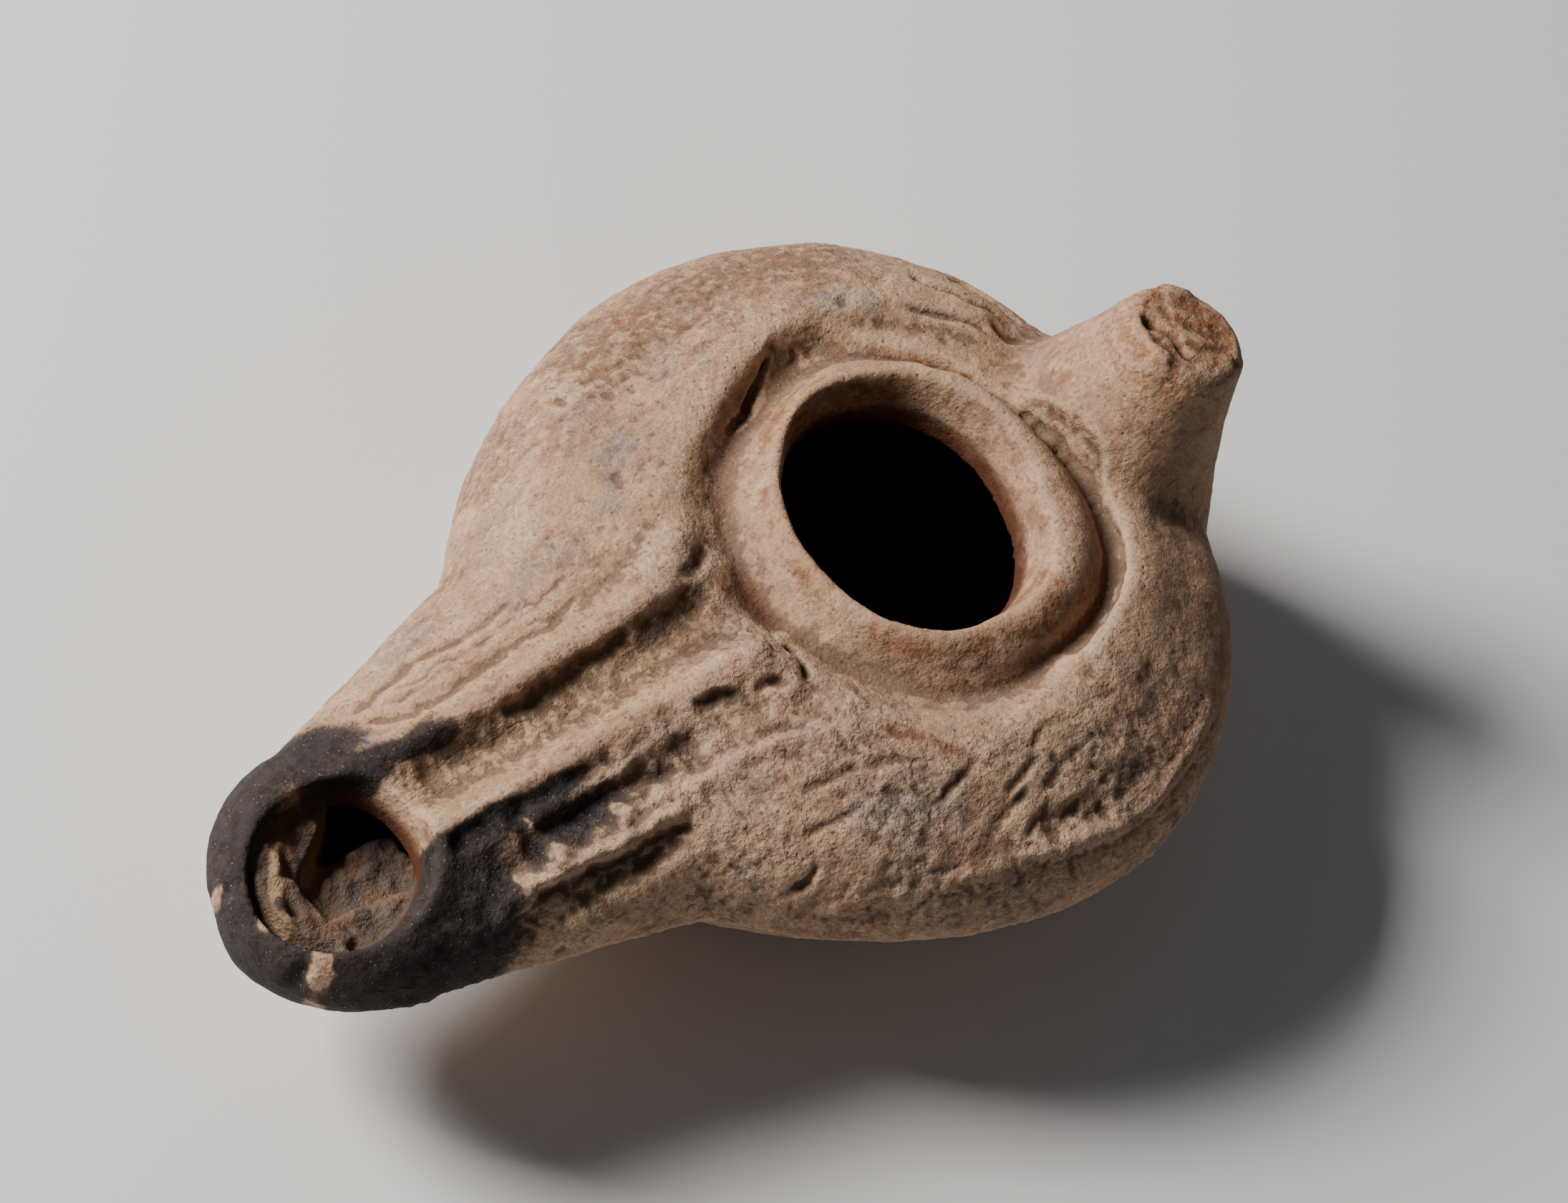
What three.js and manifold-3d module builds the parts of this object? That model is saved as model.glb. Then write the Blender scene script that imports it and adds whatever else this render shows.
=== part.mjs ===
// A mould-made terracotta oil lamp of the Late Roman "slipper" form, in millimetres.
// +Z is up and the nozzle points along -X. The origin is on the ground, under the centre of the filling hole.
// The lamp is one fired piece: two mould halves and a knob handle, joined while the clay was wet.
import * as THREE from 'three';
import { mergeVertices } from 'three/addons/utils/BufferGeometryUtils.js';
import Module from 'manifold-3d';

// Body, seen from above: a half ellipse behind the filling hole and another before it
const BODY_WIDTH = 67.3;
const BODY_BACK = 31.4;
const BODY_FRONT = 34;

// Nozzle, seen from above: a round tip that widens into the body
const NOZZLE_REACH = 68;
const NOZZLE_TIP_RADIUS = 11.8;
const NOZZLE_ROOT_HALF_WIDTH = 20.8;
const NOZZLE_ROOT_X = -22.7;
const NECK_SHARPNESS = 3.5;
const NECK_END_X = 5.7;

// Heights
const WALL = 3.8;
const SEAM_HEIGHT = 17.3;
const CROWN_RISE = 10.6;
const NOZZLE_RISE = 6.8;
const NOZZLE_DEPTH = 8.4;
const BOWL_POWER = 0.8;
const SEAM_LIP = 0.4;

// Foot: a low oval disc, set a little towards the nozzle, where the weight is
const FOOT_HEIGHT = 1.1;
const FOOT_LENGTH = 31;
const FOOT_WIDTH = 25;
const FOOT_X = -4;

// Filling hole, the raised ring around it and the dish the ring stands in
const HOLE_RADIUS = 11;
const RING_CREST_RADIUS = 12.9;
const RING_FOOT_RADIUS = 16.4;
const RING_HEIGHT = 29.6;
const DISH_HEIGHT = 26.4;
const DISH_RADIUS = 20.8;
const DISH_X = 1.6;

// The keyhole ridge runs beside the channel, round the dish and back along the channel
const RIDGE_HEIGHT = 1.1;
const RIDGE_HALF_WIDTH = 2.3;
const CHANNEL_HALF_WIDTH = 3.8;
const CHANNEL_DEPTH = 0.9;
const CHANNEL_SKEW = 0.8;

// Wick hole
const WICK_RADIUS = 6.2;
const WICK_FLARE = 0.8;
const WICK_RIM = 3.1;

// Leaf on each flank of the nozzle, as two ribs that meet in a point
const LEAF_LENGTH = 17;
const LEAF_WIDTH = 4;
const LEAF_MIDDLE_X = -42;
const LEAF_OFFSET = 9;
const LEAF_RIB_HALF_WIDTH = 0.9;
const LEAF_RIB_HEIGHT = 0.55;

// Edge line along the right of the shoulder, at a share of the half width. On the left it is worn away.
const EDGE_SHARE = 0.92;
const EDGE_FROM_X = -30;
const EDGE_TO_X = 19;
const EDGE_HALF_WIDTH = 1.1;
const EDGE_HEIGHT = 0.5;

// Strokes cut into the shoulder: radial ones beside the handle, and worn ones along the curve on the right
const STROKE_HALF_WIDTH = 0.8;
const STROKE_DEPTH = 0.6;
const BACK_STROKES_DEG = [20, 27, 34, 41];
const BACK_STROKE_LENGTH = 6.5;
const RIGHT_STROKE_GAP = 2.4;
const RIGHT_STROKES_DEG = [[-88, -104], [-86, -101], [-82, -99]];

// Knob handle, leaning back from the shoulder
const HANDLE_SETBACK = 8;
const HANDLE_FOOT_HEIGHT = 19.5;
const HANDLE_LENGTH = 18.8;
const HANDLE_FOOT_RADIUS = 13.2;
const HANDLE_TOP_RADIUS = 6.1;
const HANDLE_LEAN_DEG = 15;
const HANDLE_OFFSET = -1.2;

const CLAY = 0xb8957a;

const wasm = await Module();
wasm.setup();

const clamp01 = (v) => Math.min(1, Math.max(0, v));
const mix = (a, b, t) => a + (b - a) * t;
const smooth = (from, to, v) => {
  const t = clamp01((v - from) / (to - from));
  return t * t * (3 - 2 * t);
};
// 1 up to where a round end starts, then falling to 0 at its tip like a quarter circle
const roundEnd = (past, length) => Math.sqrt(Math.max(0, 1 - (Math.max(0, past) / length) ** 2));

// Half the width of the outline at x, drawn in by inset for the chamber
function halfWidth(x, inset) {
  const reach = (x > 0 ? BODY_BACK : BODY_FRONT) - inset;
  const body = (BODY_WIDTH / 2 - inset) * roundEnd(Math.abs(x), reach);
  const tip = NOZZLE_TIP_RADIUS - inset;
  const tipCentre = NOZZLE_TIP_RADIUS - NOZZLE_REACH;
  const along = Math.max(0, (x - tipCentre) / (NOZZLE_ROOT_X - tipCentre));
  const taper = mix(tip, NOZZLE_ROOT_HALF_WIDTH - inset, along);
  const nozzle = taper * roundEnd(tipCentre - x, tip) * (1 - smooth(-BODY_FRONT, NECK_END_X, x));
  return (body ** NECK_SHARPNESS + nozzle ** NECK_SHARPNESS) ** (1 / NECK_SHARPNESS);
}

// How high the crown stands above the seam at x, and how deep the keel lies below it
function tipRound(x, inset) {
  const length = 0.75 * NOZZLE_TIP_RADIUS;
  return roundEnd(-x - (NOZZLE_REACH - inset) + length, length);
}
function crownRise(x, inset) {
  const back = BODY_BACK - inset;
  const swell = smooth(-0.8 * NOZZLE_REACH, -0.5 * BODY_FRONT, x);
  const rise = mix(NOZZLE_RISE, CROWN_RISE, swell) - inset;
  return rise * tipRound(x, inset) * roundEnd(x - back / 3, (2 * back) / 3);
}
function keelDepth(x, inset) {
  const back = BODY_BACK - inset;
  const front = FOOT_X - FOOT_LENGTH / 2;
  const toe = FOOT_X + 0.45 * FOOT_LENGTH;
  const swell = smooth(front - 0.42 * NOZZLE_REACH, front + 0.2 * FOOT_LENGTH, x);
  const depth = mix(NOZZLE_DEPTH, SEAM_HEIGHT, swell) - inset;
  return depth * tipRound(x, inset) * roundEnd(x - toe, back - toe);
}

// Heights of the plain form, before any carving, at a share u of the half width
function topHeight(x, u, inset) {
  return SEAM_HEIGHT + crownRise(x, inset) * Math.sqrt(Math.max(0, 1 - u ** 4));
}
function bottomHeight(x, u, inset) {
  const z = SEAM_HEIGHT - keelDepth(x, inset) * Math.max(0, 1 - u * u) ** BOWL_POWER;
  return Math.max(FOOT_HEIGHT + inset, z);
}

// A closed shell: columns of [x, y, z] points that all run from one end point to the other
function shellGeometry(start, columns, end) {
  const rows = columns[0].length;
  const positions = [...start, ...columns.flat(2), ...end];
  const last = 1 + columns.length * rows;
  const at = (c, r) => 1 + (c % columns.length) * rows + r;
  const index = [];
  for (let c = 0; c < columns.length; c++) {
    index.push(0, at(c, 0), at(c + 1, 0));
    for (let r = 0; r < rows - 1; r++) {
      index.push(at(c, r), at(c, r + 1), at(c + 1, r + 1));
      index.push(at(c, r), at(c + 1, r + 1), at(c + 1, r));
    }
    index.push(at(c, rows - 1), last, at(c + 1, rows - 1));
  }
  const geometry = new THREE.BufferGeometry();
  geometry.setAttribute('position', new THREE.Float32BufferAttribute(positions, 3));
  geometry.setIndex(index);
  return geometry;
}

// The form from nozzle tip to back, with stations that crowd towards both round ends
function bodyGeometry(inset, stations, across) {
  const [tip, back] = [-NOZZLE_REACH + inset, BODY_BACK - inset];
  const centre = (tip + back) / 2;
  const xs = [];
  for (let i = 1; i < stations; i++) {
    const t = i / stations;
    const even = 2 * t - 1;
    xs.push(centre + ((back - tip) / 2) * mix(even, -Math.cos(Math.PI * t), 0.75));
  }
  const columns = [];
  for (let j = 0; j < across; j++) {
    const u = -Math.cos((Math.PI * j) / across);
    columns.push(xs.map((x) => [x, u * halfWidth(x, inset), topHeight(x, u, inset)]));
  }
  const lip = inset > 0 ? 0 : SEAM_LIP;
  for (let j = 0; j < across; j++) {
    const u = Math.cos((Math.PI * j) / across);
    columns.push(xs.map((x) => {
      const w = halfWidth(x, inset);
      if (j === 0) return [x, w, SEAM_HEIGHT];
      return [x, u * (w - lip), bottomHeight(x, u, inset)];
    }));
  }
  return shellGeometry([tip, 0, SEAM_HEIGHT], columns, [back, 0, SEAM_HEIGHT]);
}

// Height and upward direction of the plain outside at (x, y)
const surfaceHeight = (x, y) => topHeight(x, Math.min(1, Math.abs(y) / halfWidth(x, 0)), 0);
function surfaceNormal(x, y) {
  const d = 0.2;
  const slopeX = (surfaceHeight(x + d, y) - surfaceHeight(x - d, y)) / (2 * d);
  const slopeY = (surfaceHeight(x, y + d) - surfaceHeight(x, y - d)) / (2 * d);
  return new THREE.Vector3(-slopeX, -slopeY, 1).normalize();
}

// A band with an oval section that follows a path of [x, y] points over the plain outside.
// Added it is a rib, subtracted it is a groove. Both of its ends run out to a point.
function bandGeometry(path, halfAcross, halfThick, sides) {
  const points = path.map(([x, y]) => new THREE.Vector3(x, y, surfaceHeight(x, y)));
  const last = points.length - 1;
  const columns = Array.from({ length: sides }, () => []);
  for (let i = 1; i < last; i++) {
    const along = points[i + 1].clone().sub(points[i - 1]).normalize();
    const up = surfaceNormal(points[i].x, points[i].y);
    const side = along.clone().cross(up).normalize();
    const fromEnd = Math.min(i, last - i) / Math.min(last / 2, 3);
    const size = roundEnd(1 - fromEnd, 1);
    for (let s = 0; s < sides; s++) {
      const angle = (2 * Math.PI * (s + 0.5)) / sides;
      const out = side.clone().multiplyScalar(size * halfAcross * Math.cos(angle));
      out.addScaledVector(up, size * halfThick * Math.sin(angle));
      columns[s].push(points[i].clone().add(out).toArray());
    }
  }
  return shellGeometry(points[0].toArray(), columns, points[last].toArray());
}

const WICK_X = -(NOZZLE_REACH - WICK_RIM - WICK_RADIUS);

// The keyhole ridge's path, from the left of the wick hole round the dish to the right of the wick hole
function keyholePath() {
  const points = [];
  const add = (x, y) => points.push(new THREE.Vector3(x, y, 0));
  const rim = WICK_RADIUS + WICK_FLARE + 0.6 * RIDGE_HALF_WIDTH;
  const ring = DISH_RADIUS + 0.4 * RIDGE_HALF_WIDTH;
  const channelEnd = WICK_X + 2.1 * WICK_RADIUS;
  const channelStart = DISH_X - 1.08 * ring;
  const side = (s) => {
    const wick = [100, 75, 50].map((deg) => {
      const a = THREE.MathUtils.degToRad(deg);
      return [WICK_X + rim * Math.cos(a), CHANNEL_SKEW * (1 - deg / 100) + s * rim * Math.sin(a)];
    });
    const beside = CHANNEL_SKEW + s * CHANNEL_HALF_WIDTH;
    const straight = [0, 0.33, 0.67, 1].map((t) => [mix(channelEnd, channelStart, t), beside]);
    return [...wick, ...straight];
  };
  side(1).forEach(([x, y]) => add(x, y));
  for (let deg = 156; deg >= -156; deg -= 12) {
    const a = THREE.MathUtils.degToRad(deg);
    add(DISH_X + ring * Math.cos(a), ring * Math.sin(a));
  }
  side(-1).reverse().forEach(([x, y]) => add(x, y));
  const curve = new THREE.CatmullRomCurve3(points, false, 'centripetal');
  return curve.getSpacedPoints(64).map((p) => [p.x, p.y]);
}

// The channel's middle line, from inside the dish to the wick hole
function channelPath() {
  const from = DISH_X - DISH_RADIUS + 1.5;
  const steps = 16;
  return Array.from({ length: steps + 1 }, (_, i) => [mix(from, WICK_X, i / steps), CHANNEL_SKEW]);
}

// One side of a leaf, bowed outwards or inwards from the line between its two points
function leafPath(flank, bow) {
  const steps = 10;
  return Array.from({ length: steps + 1 }, (_, i) => {
    const t = i / steps;
    const x = LEAF_MIDDLE_X + LEAF_LENGTH * (t - 0.5);
    return [x, flank * LEAF_OFFSET + (bow * LEAF_WIDTH * Math.sin(Math.PI * t)) / 2];
  });
}

function edgePath() {
  const steps = 20;
  return Array.from({ length: steps + 1 }, (_, i) => {
    const x = mix(EDGE_FROM_X, EDGE_TO_X, i / steps);
    return [x, -EDGE_SHARE * halfWidth(x, 0)];
  });
}

// A stroke over the shoulder between two points, each given as radius and degrees round the dish
function strokePath([fromRadius, fromDeg], [toRadius, toDeg]) {
  const steps = 5;
  return Array.from({ length: steps + 1 }, (_, i) => {
    const r = mix(fromRadius, toRadius, i / steps);
    const a = THREE.MathUtils.degToRad(mix(fromDeg, toDeg, i / steps));
    return [DISH_X + r * Math.cos(a), r * Math.sin(a)];
  });
}

function strokePaths() {
  const inner = DISH_RADIUS + RIDGE_HALF_WIDTH;
  const outer = inner + BACK_STROKE_LENGTH;
  const radial = BACK_STROKES_DEG.map((deg) => strokePath([inner, deg], [outer, deg]));
  const along = RIGHT_STROKES_DEG.map(([from, to], i) => {
    const r = inner + 1 + i * RIGHT_STROKE_GAP;
    return strokePath([r, from], [r + 1, to]);
  });
  return [...radial, ...along];
}

// A turned form from [radius, height] pairs, standing along +Z
function turned(profile, sides) {
  const points = profile.map(([r, z]) => new THREE.Vector2(r, z));
  return new THREE.LatheGeometry(points, sides).rotateX(Math.PI / 2);
}

function dishGeometry() {
  const over = RING_HEIGHT + 2;
  const profile = [
    [0, DISH_HEIGHT],
    [RING_FOOT_RADIUS + 1, DISH_HEIGHT],
    [mix(RING_FOOT_RADIUS + 1, DISH_RADIUS, 0.5), DISH_HEIGHT + 0.25],
    [DISH_RADIUS - 0.7, DISH_HEIGHT + 0.8],
    [DISH_RADIUS, DISH_HEIGHT + 1.5],
    [DISH_RADIUS + 0.4, over],
    [0, over],
  ];
  return turned(profile, 56).translate(DISH_X, 0, 0);
}

function ringGeometry() {
  const rise = RING_HEIGHT - DISH_HEIGHT;
  const profile = [
    [0, DISH_HEIGHT - 1],
    [RING_FOOT_RADIUS, DISH_HEIGHT - 1],
    [RING_FOOT_RADIUS, DISH_HEIGHT + 0.2 * rise],
  ];
  for (let i = 1; i <= 4; i++) {
    const a = (i / 4) * (Math.PI / 2);
    const r = mix(RING_FOOT_RADIUS, RING_CREST_RADIUS, 1 - Math.cos(a));
    profile.push([r, mix(DISH_HEIGHT + 0.2 * rise, RING_HEIGHT, Math.sin(a))]);
  }
  profile.push([0, RING_HEIGHT]);
  return turned(profile, 56);
}

function fillingHoleGeometry() {
  const lip = RING_CREST_RADIUS - HOLE_RADIUS;
  const profile = [
    [0, SEAM_HEIGHT],
    [HOLE_RADIUS, SEAM_HEIGHT],
    [HOLE_RADIUS, RING_HEIGHT - 3 * lip],
    [HOLE_RADIUS + 0.25 * lip, RING_HEIGHT - 1.3 * lip],
    [HOLE_RADIUS + 0.55 * lip, RING_HEIGHT - 0.45 * lip],
    [RING_CREST_RADIUS + 0.1, RING_HEIGHT + 0.05],
    [0, RING_HEIGHT + 0.05],
  ];
  return turned(profile, 56);
}

function wickHoleGeometry() {
  const top = SEAM_HEIGHT + NOZZLE_RISE;
  const profile = [
    [0, SEAM_HEIGHT - WALL / 2],
    [WICK_RADIUS, SEAM_HEIGHT - WALL / 2],
    [WICK_RADIUS, top - WALL / 2],
    [WICK_RADIUS + WICK_FLARE, top],
    [WICK_RADIUS + 1.5 * WICK_FLARE, top + 2 * RIDGE_HEIGHT],
    [0, top + 2 * RIDGE_HEIGHT],
  ];
  return turned(profile, 32).translate(WICK_X, 0, 0);
}

function handleGeometry() {
  const steps = 7;
  const edge = 0.3 * HANDLE_TOP_RADIUS;
  const root = 1.45 * WALL;
  const profile = [[0, -root], [0.6 * HANDLE_FOOT_RADIUS, -root], [0.88 * HANDLE_FOOT_RADIUS, -0.4 * root]];
  for (let i = 0; i <= steps; i++) {
    const t = i / steps;
    const radius = mix(HANDLE_TOP_RADIUS, HANDLE_FOOT_RADIUS, (1 - t) ** 1.3);
    profile.push([radius, t * (HANDLE_LENGTH - edge)]);
  }
  profile.push([HANDLE_TOP_RADIUS - 0.3 * edge, HANDLE_LENGTH - 0.3 * edge]);
  profile.push([HANDLE_TOP_RADIUS - edge, HANDLE_LENGTH]);
  profile.push([0, HANDLE_LENGTH]);
  return turned(profile, 26)
    .rotateY(THREE.MathUtils.degToRad(HANDLE_LEAN_DEG))
    .translate(BODY_BACK - HANDLE_SETBACK, HANDLE_OFFSET, HANDLE_FOOT_HEIGHT);
}

function footGeometry() {
  const bevel = 0.3 * FOOT_HEIGHT;
  const rise = FOOT_HEIGHT + WALL / 2;
  return turned([[0, 0], [1 - (2 * bevel) / FOOT_WIDTH, 0], [1, bevel], [1, rise], [0, rise]], 48)
    .scale(FOOT_LENGTH / 2, FOOT_WIDTH / 2, 1)
    .translate(FOOT_X, 0, 0);
}

// Turns a closed geometry into a solid that can be joined and cut
function solid(geometry) {
  geometry.deleteAttribute('normal');
  geometry.deleteAttribute('uv');
  const merged = mergeVertices(geometry, 1e-3);
  const all = merged.index.array;
  const kept = [];
  for (let i = 0; i < all.length; i += 3) {
    const [a, b, c] = [all[i], all[i + 1], all[i + 2]];
    if (a !== b && b !== c && c !== a) kept.push(a, b, c);
  }
  return new wasm.Manifold(new wasm.Mesh({
    numProp: 3,
    vertProperties: new Float32Array(merged.attributes.position.array),
    triVerts: new Uint32Array(kept),
  }));
}

function lampBody() {
  const channel = bandGeometry(channelPath(), CHANNEL_HALF_WIDTH, CHANNEL_DEPTH, 10);
  let clay = solid(bodyGeometry(0, 40, 18)).subtract(solid(dishGeometry())).subtract(solid(channel));
  clay = clay.add(solid(ringGeometry()));
  clay = clay.add(solid(bandGeometry(keyholePath(), RIDGE_HALF_WIDTH, RIDGE_HEIGHT, 8)));
  for (const flank of [1, -1]) {
    for (const bow of [1, -1]) {
      clay = clay.add(solid(bandGeometry(leafPath(flank, bow), LEAF_RIB_HALF_WIDTH, LEAF_RIB_HEIGHT, 6)));
    }
  }
  clay = clay.add(solid(bandGeometry(edgePath(), EDGE_HALF_WIDTH, EDGE_HEIGHT, 6)));
  for (const path of strokePaths()) {
    clay = clay.subtract(solid(bandGeometry(path, STROKE_HALF_WIDTH, STROKE_DEPTH, 4)));
  }
  const made = clay
    .add(solid(handleGeometry()))
    .add(solid(footGeometry()))
    .subtract(solid(bodyGeometry(WALL, 24, 10)))
    .subtract(solid(fillingHoleGeometry()))
    .subtract(solid(wickHoleGeometry()))
    .getMesh();
  const geometry = new THREE.BufferGeometry();
  geometry.setAttribute('position', new THREE.BufferAttribute(made.vertProperties, 3));
  geometry.setIndex(new THREE.BufferAttribute(made.triVerts, 1));
  geometry.computeVertexNormals();
  const material = new THREE.MeshStandardMaterial({ color: CLAY, roughness: 0.95, metalness: 0 });
  const mesh = new THREE.Mesh(geometry, material);
  mesh.name = 'lamp_body';
  return mesh;
}

const lamp = new THREE.Group();
lamp.add(lampBody());

export default lamp;
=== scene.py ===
import itertools

import bpy
import numpy as np
from mathutils import Matrix, Vector


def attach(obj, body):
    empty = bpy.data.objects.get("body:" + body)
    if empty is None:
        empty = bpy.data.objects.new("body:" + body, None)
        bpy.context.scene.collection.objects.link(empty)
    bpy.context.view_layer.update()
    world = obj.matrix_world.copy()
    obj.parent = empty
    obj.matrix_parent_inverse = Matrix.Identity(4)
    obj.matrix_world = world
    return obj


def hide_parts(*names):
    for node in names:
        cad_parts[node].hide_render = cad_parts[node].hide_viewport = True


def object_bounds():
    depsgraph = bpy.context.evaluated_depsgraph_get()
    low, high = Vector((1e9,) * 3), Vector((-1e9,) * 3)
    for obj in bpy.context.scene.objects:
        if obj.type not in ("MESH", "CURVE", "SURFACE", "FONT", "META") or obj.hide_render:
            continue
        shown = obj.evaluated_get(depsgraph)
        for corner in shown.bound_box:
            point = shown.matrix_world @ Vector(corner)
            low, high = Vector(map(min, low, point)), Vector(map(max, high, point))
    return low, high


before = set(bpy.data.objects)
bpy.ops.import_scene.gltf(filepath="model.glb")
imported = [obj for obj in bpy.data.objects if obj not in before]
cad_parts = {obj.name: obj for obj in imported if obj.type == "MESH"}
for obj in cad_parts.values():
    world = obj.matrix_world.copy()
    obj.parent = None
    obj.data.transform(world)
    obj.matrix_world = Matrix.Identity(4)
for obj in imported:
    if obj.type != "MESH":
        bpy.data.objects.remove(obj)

cad_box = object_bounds()

# The clay lamp's sizes in millimetres: origin under the middle of the filling hole, nozzle along -X
BODY_WIDTH = 67.3
BODY_BACK = 31.4
BODY_FRONT = 34
NOZZLE_REACH = 68
NOZZLE_TIP_RADIUS = 11.8
NOZZLE_ROOT_HALF_WIDTH = 20.8
NOZZLE_ROOT_X = -22.7
NECK_SHARPNESS = 3.5
NECK_END_X = 5.7
WALL = 3.8
SEAM_HEIGHT = 17.3
CROWN_RISE = 10.6
NOZZLE_RISE = 6.8
NOZZLE_DEPTH = 8.4
BOWL_POWER = 0.8
SEAM_LIP = 0.4
FOOT_HEIGHT = 1.1
FOOT_LENGTH = 31
FOOT_WIDTH = 25
FOOT_X = -4
HOLE_RADIUS = 11
RING_FOOT_RADIUS = 16.4
RING_HEIGHT = 29.6
RING_DROP = 5.7
DISH_HEIGHT = 26.4
DISH_FLOOR_RADIUS = 17.4
DISH_RADIUS = 20.8
DISH_X = 1.6
DISH_WALL = 1.5
RIDGE_HEIGHT = 1.25
CHANNEL_HALF_WIDTH = 3.8
CHANNEL_DEPTH = 0.9
WICK_X = -58.7
WICK_RADIUS = 6.2
WICK_FLARE = 0.8
HANDLE_X = 23.4
HANDLE_Y = -1.2
HANDLE_FOOT_HEIGHT = 19.5
HANDLE_LENGTH = 18.8
HANDLE_FOOT_RADIUS = 13.2
HANDLE_TOP_RADIUS = 6.1
HANDLE_LEAN = np.radians(15)
HANDLE_FLARE_POWER = 1.3
WICK_RIM_HEIGHT = 24.5

# How the skin is made: spacing of its points, most triangles, smoothing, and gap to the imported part's box
GRAIN = 0.33
MOST_TRIANGLES = 194_000
FLAT_BELOW = 0.25
BOX_GAP = 0.01
SMOOTHING = (0.5, -0.52)
JOINT_ROUNDS = 60
RELIEF_TOP = 31.5
RELIEF_SPREAD = 1.3
STAIN_SPREAD = 1.2
MILLIMETRE = 0.001
PER_METRE = 1000.0

# Lines of the relief, as x and y in millimetres, and z where a line runs round the side
LEFT_RIDGE = [(-56.1, 9.2), (-52.8, 6.0), (-49.2, 5.1), (-45, 4.7), (-39.9, 4.5), (-35.4, 4.5), (-30.5, 4.4),
    (-26.6, 4.6), (-22.6, 5.8), (-19.4, 8.2), (-16.8, 11.4)]
LEFT_EDGE = [(-23.4, 5.4), (-19.8, 8.3), (-16.2, 11.9), (-11.6, 15.2), (-6.7, 17.7), (-0.8, 19.7),
    (5.5, 20.8), (12.3, 18.9), (17.6, 15.3), (21.1, 11.4), (23.6, 8.4)]
RIGHT_RIDGE = [(-58.4, -7.1), (-52.1, -2.7), (-48.3, -2.4), (-43.4, -2.7), (-38.1, -2.8), (-34.5, -2.9),
    (-30.7, -3.0), (-27.3, -3.3), (-23.8, -3.6), (-20.5, -4.2), (-17.8, -5.2)]
RIGHT_EDGE = [(-18.6, -9.0), (-17.6, -12.4), (-14.8, -16.0), (-10.7, -19.4), (-4.5, -21.2), (2, -21.0),
    (8, -19.4)]
BACK_LIP = [(2, -19), (6, -18.4), (10, -16.9), (13.3, -14.5), (15.9, -11.6), (17.7, -8.2), (18.5, -4.6),
    (18.6, -1), (18.6, 2)]
CHANNEL = [(-52, 1.2), (-40, 0.9), (-26, 0.6), (-15, 0.5)]
EDGE_RIDGE = [(16.4, -25.6, 23.5), (8.9, -29.1, 23.3), (2.4, -30.9, 22.8), (-4.6, -30.2, 23.2),
    (-11.4, -28.6, 23.3), (-17.7, -26.5, 22.5), (-23.1, -24.1, 21.5), (-27.9, -21.2, 19.7)]

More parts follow.
